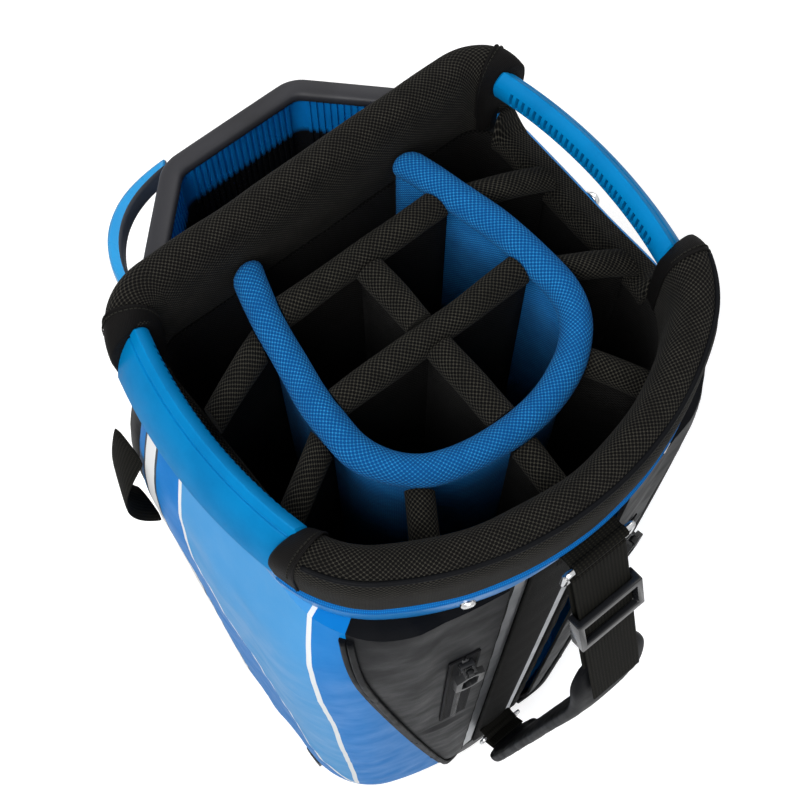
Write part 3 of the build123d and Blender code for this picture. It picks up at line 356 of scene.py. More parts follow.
def tubes(name, paths, radius, material, closed=False, sides=12, flat=1.0):
    """Round cords along smooth lines of points, as one piece; flat stretches them upwards."""
    mesh = bpy.data.meshes.new(name)
    across = [2 * pi * radius * MM * j / sides for j in range(sides + 1)]
    with shaping(mesh) as form:
        uv = form.loops.layers.uv.new("cloth")
        for path in paths:
            path = [Vector(p) for p in path]
            count, run, rings = len(path), [0.0], []
            for i, spot in enumerate(path):
                ahead = path[(i + 1) % count] if closed or i + 1 < count else spot
                behind = path[i - 1] if closed or i else spot
                heading = (ahead - behind).normalized()
                level = Vector((0, 0, 1)) if abs(heading.z) < 0.8 else Vector((0, 1, 0))
                side = heading.cross(level).normalized()
                up = side.cross(heading)
                run.append(run[-1] + (path[(i + 1) % count] - spot).length * MM)
                rings.append([form.verts.new((spot + side * radius * cos(a) + up * radius * flat * sin(a)) * MM)
                              for a in [2 * pi * j / sides for j in range(sides)]])
            lay_faces(form, uv, rings, run, across, closed, True)
            if not closed:
                form.faces.new(rings[0])
                form.faces.new(rings[-1])
        bmesh.ops.recalc_face_normals(form, faces=form.faces)
    return new_piece(name, mesh, material)


def softened(node, material, width=0.8, segments=3):
    """A copy of a hard node with its edges rounded, to stand for that node."""
    piece = new_piece(node + "_formed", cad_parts[node].data.copy())
    piece.data.materials.clear()
    piece.data.materials.append(material)
    with shaping(piece.data) as form:
        bmesh.ops.remove_doubles(form, verts=form.verts, dist=1e-6)
        bmesh.ops.dissolve_limit(form, angle_limit=radians(1), verts=form.verts, edges=form.edges)
    modify(piece, "BEVEL", width=width * MM, segments=segments, limit_method="ANGLE", angle_limit=radians(35))
    return smooth(piece, 35)


def swell(piece, height, reach, hold=None):
    """Puffs a skin outwards by height, easing to nothing at its edges over reach, in millimetres."""
    with shaping(piece.data) as form:
        form.normal_update()
        edges = [v.co.copy() for v in form.verts if v.is_boundary]
        tree = KDTree(len(edges))
        for i, spot in enumerate(edges):
            tree.insert(spot, i)
        tree.balance()
        for vert in form.verts:
            gap = tree.find(vert.co)[2] / MM
            spot = vert.co / MM
            crease = noise.noise(Vector((spot.x / 40, spot.y / 40, spot.z / 110))) + 0.5 * noise.noise(spot / 22)
            lift = (1 - exp(-gap / reach)) * (height + crease * height * 0.35)
            vert.co += vert.normal * lift * MM * (hold(spot) if hold else 1.0)
    return piece


# Materials

def colour(code):
    """An sRGB hex colour as linear light."""
    shares = [int(code[i:i + 2], 16) / 255 for i in (0, 2, 4)]
    return (*[c / 12.92 if c <= 0.04045 else ((c + 0.055) / 1.055) ** 2.4 for c in shares], 1.0)


def fill(material, step, values):
    """Sets a node's inputs, linking those that are sockets."""
    for key, value in values.items():
        if isinstance(value, bpy.types.NodeSocket):
            material.node_tree.links.new(value, step.inputs[key])
        else:
            step.inputs[key].default_value = value


def add(material, kind, values=None, out=None, **settings):
    """Adds a node and returns its output."""
    step = material.node_tree.nodes.new("ShaderNode" + kind)
    for key, value in settings.items():
        setattr(step, key, value)
    fill(material, step, values or {})
    return step.outputs[out] if out else next(o for o in step.outputs if o.enabled)


def finish_of(name):
    """A new material and its shader."""
    material = bpy.data.materials.new(name)
    material.use_nodes = True
    return material, material.node_tree.nodes["Principled BSDF"]


MIX_A, MIX_B = 6, 7  # the colour inputs of a mix node
WAVE = 0.314  # length of one band of a wave texture at scale 1
GRAIN = 0.5  # texture of a moulded surface, in millimetres
YARN_DRIFTS, CREASES, HAND_MARKS = 90.0, 38.0, 28.0  # to the metre: about 11, 26 and 36 mm apart


def spacer_mesh(name, thread, hole_shade, pitch):
    """Knitted polyester spacer mesh: a slanted grid of holes, darkened with painted shade, between raised dull
    threads.

    The pitch is the spacing of the holes in millimetres.
    """
    material, shader = finish_of(name)
    uv = add(material, "UVMap", uv_map="cloth")
    size = 1 / (pitch * MM)
    grid = add(material, "Mapping", {"Vector": uv, "Rotation": (0, 0, radians(45)), "Scale": (size, size, 1)})
    gap = add(material, "TexVoronoi", {"Vector": grid, "Scale": 1.0, "Randomness": 0.0}, out="Distance",
              voronoi_dimensions="2D")
    rib = add(material, "MapRange", {"Value": gap, "From Min": 0.34, "From Max": 0.6},
              interpolation_type="SMOOTHSTEP")
    yarn = add(material, "TexNoise", {"Vector": uv, "Scale": YARN_DRIFTS, "Detail": 3.0})
    soft = add(material, "MapRange", {"Value": yarn, "To Min": -0.5, "To Max": 0.75})
    tint = add(material, "Mix", {0: soft, MIX_A: colour(thread), MIX_B: colour(hole_shade)}, data_type="RGBA", out=2)
    # Painted shade: the holes take a colour darker than the threads, as the shade down inside them
    shade = add(material, "Mix", {0: rib, MIX_A: colour(hole_shade), MIX_B: tint}, data_type="RGBA", out=2)
    relief = add(material, "Bump", {"Strength": 0.8, "Distance": 0.7 * MM, "Height": rib})
    fill(material, shader, {"Base Color": shade, "Normal": relief, "Roughness": 0.8, "Sheen Weight": 0.02,
                            "Specular IOR Level": 0.06})
    return material


def coated(name, code, dark, roughness, pebble=0.9, depth=0.12, wrinkle=0.5, coat=0.0, shine=0.3):
    """Polyurethane-coated polyester: a fine pebbled skin with shallow creases and a sheen that shifts across it.

    Such a pebble is usually finer than half a millimetre, too fine to show, so it is drawn at about one.
    """
    material, shader = finish_of(name)
    place = add(material, "TexCoord", out="Object")
    cells = add(material, "TexVoronoi", {"Vector": place, "Scale": 1 / (pebble * MM)}, out="Distance")
    cloud = add(material, "TexNoise", {"Vector": place, "Scale": CREASES, "Detail": 4.0, "Roughness": 0.55})
    tint = add(material, "Mix", {0: cloud, MIX_A: colour(code), MIX_B: colour(dark)}, data_type="RGBA", out=2)
    dull = add(material, "MapRange", {"Value": cloud, "From Min": 0.3, "From Max": 0.7,
                                      "To Min": roughness - 0.07, "To Max": roughness + 0.09})
    crease = add(material, "Bump", {"Strength": wrinkle, "Distance": 2.0 * MM, "Height": cloud})
    skin = add(material, "Bump", {"Strength": 0.5, "Distance": depth * MM, "Height": cells, "Normal": crease})
    fill(material, shader, {"Base Color": tint, "Roughness": dull, "Normal": skin, "Coat Weight": coat,
                            "Coat Roughness": 0.18, "Specular IOR Level": shine})
    return material


def moulded(name, code, dark, roughness, coat=0.0, metal=0.0, shine=0.3):
    """Moulded or cast surface: faint texture, handling marks and a slight drift of colour."""
    material, shader = finish_of(name)
    place = add(material, "TexCoord", out="Object")
    fine = add(material, "TexNoise", {"Vector": place, "Scale": 1 / (GRAIN * MM), "Detail": 2.0})
    broad = add(material, "TexNoise", {"Vector": place, "Scale": HAND_MARKS, "Detail": 5.0, "Roughness": 0.6})
    share = add(material, "MapRange", {"Value": broad, "From Min": 0.42, "From Max": 0.72})
    tint = add(material, "Mix", {0: share, MIX_A: colour(code), MIX_B: colour(dark)}, data_type="RGBA", out=2)
    dull = add(material, "MapRange", {"Value": broad, "From Min": 0.3, "From Max": 0.7,
                                      "To Min": roughness - 0.05, "To Max": roughness + 0.08})
    relief = add(material, "Bump", {"Strength": 0.25, "Distance": 0.06 * MM, "Height": fine})
    fill(material, shader, {"Base Color": tint, "Roughness": dull, "Normal": relief, "Metallic": metal,
                            "Coat Weight": coat, "Coat Roughness": 0.08,
                            "Specular IOR Level": 0.5 if metal else shine})
    return material


def woven(name, code, dark, rib, pick, roughness=0.75):
    """Narrow woven tape: ribs along its length crossed by finer picks, both spaced in millimetres, with painted shade
    in the grooves between them.
    """
    material, shader = finish_of(name)
    uv = add(material, "UVMap", uv_map="cloth")
    along = add(material, "TexWave", {"Vector": uv, "Scale": WAVE / (rib * MM), "Distortion": 0.0},
                out="Fac", bands_direction="Y")
    across = add(material, "TexWave", {"Vector": uv, "Scale": WAVE / (pick * MM), "Distortion": 0.0},
                 out="Fac", bands_direction="X")
    weave = add(material, "Math", {0: along, 1: across}, operation="MULTIPLY")
    # Painted shade: the grooves between ribs and picks take the darker colour
    tint = add(material, "Mix", {0: weave, MIX_A: colour(dark), MIX_B: colour(code)}, data_type="RGBA", out=2)
    relief = add(material, "Bump", {"Strength": 0.6, "Distance": 0.4 * MM, "Height": weave})
    fill(material, shader, {"Base Color": tint, "Normal": relief, "Roughness": roughness, "Specular IOR Level": 0.06})
    return material


def panel_finish(name):
    """Gloss coated panel: blue ground, a white stripe edged grey along the front, and a pale inset outlined white."""
    material = coated(name, "0482d2", "0272c2", 0.46, pebble=1.1, depth=0.06, wrinkle=0.2, shine=0.08)
    shader = material.node_tree.nodes["Principled BSDF"]
    ground = shader.inputs["Base Color"].links[0].from_socket
    across = add(material, "Attribute", out="Fac", attribute_name="across")
    inset = add(material, "Attribute", out="Fac", attribute_name="inset")
    for value, low, high, code in ((across, 0.055, 0.135, "3a434d"), (across, 0.066, 0.124, "f2f3f4"),
                                   (inset, 0.0, 9.0, "eef1f3"), (inset, 0.016, 9.0, "4a9bd8")):
        over = add(material, "Math", {0: value, 1: low}, operation="GREATER_THAN")
        under = add(material, "Math", {0: value, 1: high}, operation="LESS_THAN")
        within = add(material, "Math", {0: over, 1: under}, operation="MULTIPLY")
        ground = add(material, "Mix", {0: within, MIX_A: ground, MIX_B: colour(code)}, data_type="RGBA", out=2)
    fill(material, shader, {"Base Color": ground})
    return material


LINER_SHADE_TOP, LINER_BLUE = 806.0, 812.0  # the liner is near-black painted shade up to one height and blue from the other


def liner_finish(name):
    """Ribbed liner: gloss blue round the rim, and near-black further down, painted as the shade deep in the well."""
    material = moulded(name, "0a7cc8", "0868b0", 0.28, coat=0.2)
    shader = material.node_tree.nodes["Principled BSDF"]
    rim = shader.inputs["Base Color"].links[0].from_socket
    place = add(material, "TexCoord", out="Object")
    height = add(material, "SeparateXYZ", {"Vector": place}, out="Z")
    # Painted shade: below the rim the blue fades to near-black, standing for the dark depth of the well
    share = add(material, "MapRange", {"Value": height, "From Min": LINER_SHADE_TOP * MM, "From Max": LINER_BLUE * MM})
    tint = add(material, "Mix", {0: share, MIX_A: colour("141518"), MIX_B: rim}, data_type="RGBA", out=2)
    fill(material, shader, {"Base Color": tint})
    return material


# Dull black with faint warm threads, the padded rolls' soft grid
MESH_BLACK = spacer_mesh("black_polyester_spacer_mesh", "3b3933", "060606", 1.75)
# The same cloth stretched over thin rolls, a little more open
MESH_FINE = spacer_mesh("black_polyester_divider_mesh", "3f3d36", "060606", 1.85)
# Bright threads over deep blue holes, painted as shade, so the U reads as one clear line
MESH_BLUE = spacer_mesh("blue_polyester_spacer_mesh", "2c92d4", "084a88", 1.8)
# Nearly black, so the slots fall away into shade
LINING = spacer_mesh("black_polyester_lining", "22211f", "050505", 1.8)
# Flat and smooth beside the mesh, a darker cap on each roll's end
BINDING = woven("black_polyester_binding", "191817", "0e0d0d", 0.9, 0.7, 0.65)
# A thin bright line along the hem
PIPING = woven("blue_knitted_polyester", "1b86cf", "0b57a0", 1.3, 1.1, 0.7)
# Creased blue with a soft sheen
BAND = coated("blue_coated_polyester", "2484ca", "1a6cb2", 0.34, wrinkle=0.8, coat=0.08, shine=0.2)
# Lighter and glossier than the band it is sewn to
LOOP = coated("pale_blue_coated_polyester", "1f9fe0", "1683c4", 0.3, coat=0.3)
# The loop's plain grey underside
LOOP_BACK = coated("grey_coated_polyester", "4a4c50", "3a3b3f", 0.5)
# Blocks of flat colour parted by crisp white lines
PANEL = panel_finish("blue_coated_panel")
# Deep black with broad dim highlights on the folds
POCKET = coated("black_coated_polyester", "0f1013", "0a0b0d", 0.5, pebble=1.1, depth=0.08, wrinkle=0.08, shine=0.05)
# Even, saturated blue with hardly a highlight, as soft rubber has
HANDLE = moulded("blue_thermoplastic_rubber", "007cba", "0070ac", 0.5, shine=0.07)
# Glossy ribs that catch the light round the rim, above painted shade further down
LINER = liner_finish("blue_polypropylene")
# Dark grey, satin
COLLAR = moulded("grey_polypropylene", "2d2d31", "262629", 0.45, shine=0.25)
# Black, satin
SHELL = moulded("black_polypropylene", "121314", "0d0e0f", 0.45)
# Black with a sharper highlight than the cloth round it
TRIM = moulded("black_acetal", "16171a", "101113", 0.28, coat=0.3)
# Black, slightly grey where handled
RUBBER = moulded("black_rubber", "18191b", "101012", 0.4)
# Bright, mirrors the pale surround
NICKEL = moulded("nickel_plated_steel", "d2d3d4", "b9babc", 0.16, metal=1.0)
# Soft silver with a blurred highlight along its length
STAY = moulded("anodised_aluminium", "9a9da1", "85888c", 0.35, metal=1.0)
# Matt black with clear ribs
WEBBING = woven("black_polypropylene_webbing", "201f1a", "090908", 2.4, 1.3)
# Close weave, a shade lighter than the pocket
ZIP_TAPE = woven("black_polyester_zip_tape", "26272a", "141416", 0.8, 0.6)
# Small glints in two rows
COIL = moulded("black_nylon_coil", "222326", "17181a", 0.32, coat=0.2)
# Warm grey dashes on black cloth
THREAD = woven("black_polyester_thread", "46453f", "1c1c1a", 0.5, 0.4)


# Cuff

def pad_profile(grow=0.0, steps=22):
    """The roll's outer skin as (inset, height), from the outer hem over the crest to the inner hem."""
    profile = [(1.6 - grow, PAD_HEM), (0.6 - grow, PAD_HEM + 7)]
    for i in range(steps + 1):
        angle = pi * (1 - i / steps)
        wide = abs(cos(angle)) ** 0.82 * (1 if cos(angle) > 0 else -1)
        profile.append((12.5 + (12.7 + grow) * wide, 877.0 + (CREST - 877.0 + grow) * sin(angle) ** 0.82))
    profile += [(24.6 + grow, 858.0), (23.6 + grow, PAD_INNER_HEM)]
    return profile


def ease_ends(rows, reach=15.0, drop=0.2):
    """Lets a roll's height fall off towards both its ends."""
    crests = [max((Vector(p) for p in row), key=lambda q: q.z) for row in rows]
    runs = [0.0]
    for a, b in zip(crests, crests[1:]):
        runs.append(runs[-1] + (b - a).length)
    eased = []
    for row, run in zip(rows, runs):
        gap = min(run, runs[-1] - run, reach) / reach
        share = 1 - drop * (1 - gap) ** 2
        eased.append([(x, y, PAD_HEM + (z - PAD_HEM) * share if z > PAD_HEM else z) for x, y, z in row])
    return eased


POCKET_FOR_FRAME = [(20.5, PAD_INNER_HEM), (20.5, 886.6), (15.4, 886.6), (15.4, PAD_HEM)]


def make_pads():
    """Front and rear padded rolls folded over the frame, with a welt along the rear one."""
    profile = pad_profile() + POCKET_FOR_FRAME
    for name, run in (("cuff_pad_front", front_run), ("cuff_pad_rear", rear_run)):
        rows = ease_ends(sections(profile, run))
        roll = cloth_grid(name + "_roll", rows, MESH_BLACK, round_cols=True, cap=True, wobble=0.9)
        settle(roll, "bag", "mesh_black", name)
    inset, height = pad_profile(0.4)[8]
    welt = tubes("rear_welt", [[(x, y, height) for x, y in rear_run(inset, GAP_REAR - 16)]], 1.5, POCKET, sides=10)
    settle(welt, "bag", "coated_black")


def make_bindings():
    """Sewn tape caps over the four ends of the rolls."""
    caps = []
    for run, begin, inward, count in ((front_run, GAP_FRONT, -1, 7), (rear_run, GAP_REAR, 1, 6)):
        rows = ease_ends(sections(pad_profile(0.9), run))[:count]
        edge = rows[0]
        middle = Vector((edge[0][0] - 11, begin, 868.0))
        lip = [tuple(Vector(p) + (middle - Vector(p)) * 0.75 + Vector((0, 0.9 * inward, 0))) for p in edge]
        brim = [tuple(Vector(p) + (middle - Vector(p)) * 0.06 + Vector((0, 0.9 * inward, 0))) for p in edge]
        cap = cloth_grid("binding", [lip, brim] + rows, BINDING, wobble=1.0)
        modify(cap, "SOLIDIFY", thickness=1.1 * MM, offset=-1.0)
        smooth(cap, 60)
        sewing = []
        for a, b in zip(rows[-2][2:-2], rows[-2][3:-2]):
            a, b = Vector(a), Vector(b)
            out = (a - Vector((a.x * 0.9, a.y * 0.9, 868.0))).normalized() * 0.5
            sewing.append([a.lerp(b, t) + out for t in (0.15, 0.5, 0.85)])
        seam = tubes("binding_stitches", sewing, 0.4, THREAD, sides=6)
        rim = tubes("binding_fold", [rows[-1][1:-1]], 0.7, BINDING, sides=8)
        for part in (cap, seam, rim):
            caps += [part, mirrored(part, part.name)]
    settle(joined(caps, "roll_bindings"), "bag", "binding", "cuff_bindings")


def band_top(x, y):
    """Height of the band's upper edge at a point of the plan."""
    under_handle = abs(x) > 70 and GAP_REAR - BAND_TUCK < y < GAP_FRONT + BAND_TUCK
    return SILL - BAND_DROP if under_handle else PAD_HEM - 0.5


def make_band():
    """Padded band below the rolls, lower under the handles, and the knit piping along the hem."""
    ring = outline(CUFF)
    rows = []
    for x, y, nx, ny in ring:
        top = band_top(x, y)
        tall = top - BAND_LOW
        profile = [(BAND_INSET, BAND_LOW), (5.0, BAND_LOW), (3.6, BAND_LOW + 2)]
        profile += [(3.6 - 1.4 * sin(pi * i / 8), BAND_LOW + 2 + (tall - 4) * i / 8) for i in range(1, 8)]
        profile += [(3.6, top - 2), (5.0, top), (BAND_INSET, top)]
        rows.append([(x - nx * i, y - ny * i, z) for i, z in profile])
    band = cloth_grid("hem_band", rows, BAND, round_rows=True, round_cols=True, wobble=0.8)
    settle(band, "bag", "coated_blue", "cuff_band")
    z = PAD_HEM - 2.9
    side = [(x, y, z) for x, y in front_run(1.7) if x > WELL["side_half"] + 1]
    paths = [[(x, y, z) for x, y in rear_run(1.7)], side, [(-x, y, z) for x, y, z in side]]
    settle(tubes("hem_pipings", paths, 2.0, PIPING, flat=1.35), "bag", "piping_blue", "cuff_piping")


NOTCH = (875.6, 886.0)  # lowest and highest point of the notches in a grip
NOTCH_STEP, NOTCH_DEPTH = 4.0, 2.2
GRIP_BOW = 300.0  # radius of a grip's curve in plan


def make_handles():
    """Moulded side grips with a groove along the crest and notches on the inner edge."""
    # The section in the middle of the grip, as (x, z)
    inner, brow, ridge = Vector((125.4, 873.5)), Vector((124.5, 885.0)), Vector((130.6, 892.0))
    crown, lip, heel = Vector((142.3, 875.4)), Vector((148.5, 855.0)), Vector((142.7, 852.0))
    hollow, root = Vector((137.0, 872.0)), Vector((130.0, 873.5))
    heart = Vector((134.0, 873.0))

    def bend(a, b, c, shares):
        """Points on a smooth curve from a through b to c."""
        peak = b * 2 - (a + c) / 2
        return [a * (1 - t) ** 2 + peak * 2 * t * (1 - t) + c * t ** 2 for t in shares]

    shares = [i / 16 for i in range(17)]
    outer = bend(ridge, crown, lip, [0.0, 0.05, 0.1, 0.125, 0.135, 0.165, 0.175] + shares[4:])
    for i in (4, 5):
        outer[i] -= Vector((0.8, 0.9))
    section = outer + bend(heel, hollow, root, shares) + bend(inner, brow, ridge, shares)[:-1]
    for _ in range(2):
        section = [p * (0.75 if k == 0 else 0.25) + q * (0.25 if k == 0 else 0.75)
                   for p, q in zip(section, section[1:] + section[:1]) for k in (0, 1)]
    middle, reach = (GAP_FRONT + GAP_REAR) / 2, (GAP_FRONT - GAP_REAR) / 2 - 0.4
    centre = lip.x - GRIP_BOW
    rows = []

    def lay(spot, notch, pinch=0.0):
        """Adds the section at a distance from the middle, notched or drawn in to its heart."""
        row = []
        for p in section:
            x = max(p.x, inner.x + NOTCH_DEPTH) if notch and NOTCH[0] < p.y < NOTCH[1] else p.x
            q = Vector((x, p.y)).lerp(heart, pinch)
            radius = q.x - centre
            row.append((centre + sqrt(radius ** 2 - spot ** 2), middle + spot, q.y))
        rows.append(row)

    lay(-reach, False, 0.07)
    lay(-reach + 1.2, False)
    spot = -reach + 9
    while spot + NOTCH_STEP < reach - 9:
        for shift, notch in ((0.0, False), (2.1, False), (2.5, True), (3.6, True)):
            lay(spot + shift, notch)
        spot += NOTCH_STEP
    lay(spot, False)
    lay(reach - 1.2, False)
    lay(reach, False, 0.07)
    right = cloth_grid("grip_right", rows, HANDLE, round_cols=True, cap=True)
    smooth(right, 40)
    left = mirrored(right, "grip_left")
    settle(right, "bag", "moulded_blue", "handle_right")
    settle(left, "bag", "moulded_blue", "handle_left")


# Body, dividers and putter well

def make_tube():
    """Mesh-lined club tube with a rolled, stitched edge below each handle."""
    profile = [(16.3, FLOOR), (16.3, 790.0), (20.3, 792.0), (20.3, SILL), (22.7, SILL)]
    profile += [(22.7, 800 - 100 * i) for i in range(0, 8)] + [(22.7, FLOOR)]
    ring = outline(CUFF)
    rows = [[(x - nx * i, y - ny * i, z) for i, z in profile] for x, y, nx, ny in ring]
    wall = cloth_grid("club_tube", rows, LINING, round_rows=True, round_cols=True)
    settle(wall, "bag", "lining", "body_tube")
    # The edge's section as (inset, height): over the top from outside to inside, and back below
    rim = [(3.5, 828.5), (4.4, 831.6), (8.0, 833.4), (14.0, 836.6), (18.5, 839.6), (23.0, 839.4), (26.0, 836.6),
           (27.0, 831.0), (25.5, 826.0), (23.0, 824.0), (23.0, 835.6), (20.4, 836.4), (15.6, 836.4), (15.4, 832.4),
           (5.2, 832.2), (4.6, 828.5)]
    shelf = [spot for spot in ring if spot[0] > 70 and GAP_REAR - 1 < spot[1] < GAP_FRONT + 1]
    side = np.array(sorted((spot for spot in ring if spot[0] > 70), key=lambda spot: spot[1]))
    rows = []
    for y in np.linspace(GAP_REAR - 5, GAP_FRONT + 5, 61):
        x, nx, ny = [float(np.interp(y, side[:, 1], side[:, k])) for k in (0, 2, 3)]
        rise = 16.0 * min(max(1 - min(GAP_FRONT - y, y - GAP_REAR) / 14.0, 0.0), 1.0) ** 2  # up into the rolls
        lifts = [rise if k in range(1, 6) else 0.0 for k in range(len(rim))]
        rows.append([(x - nx * i, y - ny * i, z + lift) for (i, z), lift in zip(rim, lifts)])
    right = cloth_grid("lining_edge_right", rows, MESH_FINE, round_cols=True, cap=True, wobble=0.7)
    smooth(modify(right, "SUBSURF", levels=1), 70)
    sewing = []
    for here, ahead in zip(shelf, shelf[1:]):
        a, b = [Vector((p[0] - p[2] * 25.0, p[1] - p[3] * 25.0, 838.3)) for p in (here, ahead)]
        sewing += [[a.lerp(b, t + d) for d in (0.0, 0.1, 0.2)] for t in (0.05, 0.38, 0.71)]
    seam = tubes("lining_stitches", sewing, 0.5, THREAD, sides=6)
    for piece in (right, mirrored(right, "lining_edge_left"), seam, mirrored(seam, "lining_stitches_left")):
        settle(piece, "bag", "mesh_black")


def roll_profile(radius, height, steps=18):
    """A roll's section as (offset, height): round, with a flat foot where its sheet is sewn on."""
    low = asin(ROLL_FOOT / radius)
    return [(radius * cos(a), height + radius * sin(a))
            for a in [-low + (pi + 2 * low) * i / steps for i in range(steps + 1)]]


def domed(rows, reach):
    """Rows of a roll with rounded ends that stand out by reach."""
    def end(row, other):
        """Four rows that close one end."""
        centre = sum((Vector(p) for p in row), Vector()) / len(row)
        out = (centre - sum((Vector(p) for p in other), Vector()) / len(other)).normalized()
        return [[tuple(centre + (Vector(p) - centre) * sqrt(1 - t * t) + out * reach * t) for p in row]
                for t in (0.98, 0.88, 0.7, 0.4)]
    return end(rows[0], rows[1]) + rows + end(rows[-1], rows[-2])[::-1]


def cross(origin, heading, line):
    """How far a plan ray runs from its origin before it meets a line."""
    found = []
    for a, b in zip(line, line[1:]):
        span = Vector(b) - Vector(a)
        turn = heading.x * span.y - heading.y * span.x
        if abs(turn) < 1e-9:
            continue
        gap = Vector(a) - origin
        along = (gap.x * span.y - gap.y * span.x) / turn
        share = (gap.x * heading.y - gap.y * heading.x) / turn
        if -1e-6 <= share <= 1 + 1e-6:
            found.append(along)
    return found


TUBE_INSET = 25.4  # cuff outline in to where the outer dividers stop
CUFF_WALL = [(x - nx * TUBE_INSET, y - ny * TUBE_INSET) for x, y, nx, ny in outline(CUFF)]
CUFF_WALL.append(CUFF_WALL[0])


def straight_divider(node, origin, heading, ends, roll, droop=0.0):
    """A padded roll with a sheet below it, run between two stops that follow their neighbours' sides."""
    radius, height = roll
    side = Vector((heading.y, -heading.x))
    reach = 12.0  # a start may lie this far ahead of the origin

    def stop(offset, which, sheet):
        """Where a line beside the divider's middle meets its stop."""
        line = ends[which][1 if sheet else 0]
        spot = origin + side * offset
        if isinstance(line, float):
            return spot + heading * line
        hits = cross(spot, heading, line)
        return spot + heading * (min(h for h in hits if h > 0) if which == 1 else max(h for h in hits if h < reach))

    profile = roll_profile(radius, height)
    starts = [stop(o, 0, False) for o, _ in profile]
    finishes = [stop(o, 1, False) for o, _ in profile]
    steps = 14
    rows = [[(*(a + (b - a) * k / steps), z - droop * (k / steps) ** 2) for a, b, (_, z)
             in zip(starts, finishes, profile)] for k in range(steps + 1)]
    cover = cloth_grid(node + "_roll", rows, MESH_FINE, round_cols=True, cap=True, wobble=1.3)
    begin, end = stop(0.0, 0, True), stop(0.0, 1, True)
    top = height - ROLL_FOOT - droop
    levels = [FLOOR + (top - FLOOR) * j / 16 for j in range(17)]
    rows = []
    for k in range(11):
        spot = begin + (end - begin) * k / 10
        row = []
        for z in levels:
            hold = sin(pi * k / 10) * sin(pi * (z - FLOOR) / (top - FLOOR))
            sway = 2.6 * hold * noise.noise(Vector((spot.x / 45, spot.y / 45, z / 170)))
            row.append((*(spot + side * sway), z))
        rows.append(row)
    sheet = cloth_grid(node + "_sheet", rows, LINING)
    modify(sheet, "SOLIDIFY", thickness=SHEET_THICK * MM, offset=0.0)
    settle(cover, "bag", "mesh_black", node)
    settle(sheet, "bag", "mesh_black", node)


def make_dividers():
    """Blue U divider, three dividers inside it and seven from it to the cuff."""
    radius, height = U_ROLL
    rows = domed(sections(roll_profile(radius, height), lambda offset: u_run(offset, U_LINE["front"] - 7)), 6.5)
    cover = cloth_grid("divider_u_cover", rows, MESH_BLUE, round_cols=True, cap=True, wobble=1.4)
    settle(cover, "bag", "mesh_blue", "divider_u_roll")
    top = height - ROLL_FOOT - 0.3
    levels = [FLOOR + (top - FLOOR) * j / 18 for j in range(19)]
    line = u_run(0.0)
    sheet = cloth_grid("divider_u_wall", [[(x, y, z) for z in levels] for x, y in line], MESH_BLUE)
    modify(sheet, "SOLIDIFY", thickness=SHEET_THICK * MM, offset=0.0)
    settle(sheet, "bag", "mesh_blue", "divider_u_sheet")
    run = sum((Vector(b) - Vector(a)).length for a, b in zip(line, line[1:]))

    inside = (u_run(-radius - ROLL_STOP), u_run(-SHEET_STOP))
    outside = (u_run(radius + ROLL_STOP), u_run(SHEET_STOP))
    wall = (CUFF_WALL, CUFF_WALL)
    east, north = Vector((1.0, 0.0)), Vector((0.0, 1.0))
    for node, y in zip(("divider_cross_front", "divider_cross_rear"), CROSS_Y):
        straight_divider(node, Vector((0.0, y)), east, (inside, inside), CROSS_ROLL)
    half = (CROSS_Y[0] - CROSS_Y[1]) / 2
    room = CROSS_ROLL[0] + ROLL_STOP
    straight_divider("divider_centre_front", Vector((0.0, sum(CROSS_Y) / 2)), north,
                     ((room - half, SHEET_STOP - half), (half - room, half - SHEET_STOP)), CROSS_ROLL)
    straight_divider("divider_centre_rear", Vector((0.0, CROSS_Y[1] - 20.0)), -north,
                     ((room - 20.0, SHEET_STOP - 20.0), inside), CROSS_ROLL)
    straight_divider("divider_ring_spine", Vector((0.0, -U_LINE["rear"] - 10.0)), -north, (outside, wall),
                     RING_ROLL, RING_DROOP)
    for side, word in ((1, "right"), (-1, "left")):
        for i, (x, y, angle) in enumerate(RING_SEATS, 1):
            heading = Vector((side * cos(radians(angle)), sin(radians(angle))))
            origin = Vector((side * x, y)) + heading * 10
            straight_divider(f"divider_ring_{word}_{i}", origin, heading, (outside, wall), RING_ROLL, RING_DROOP)


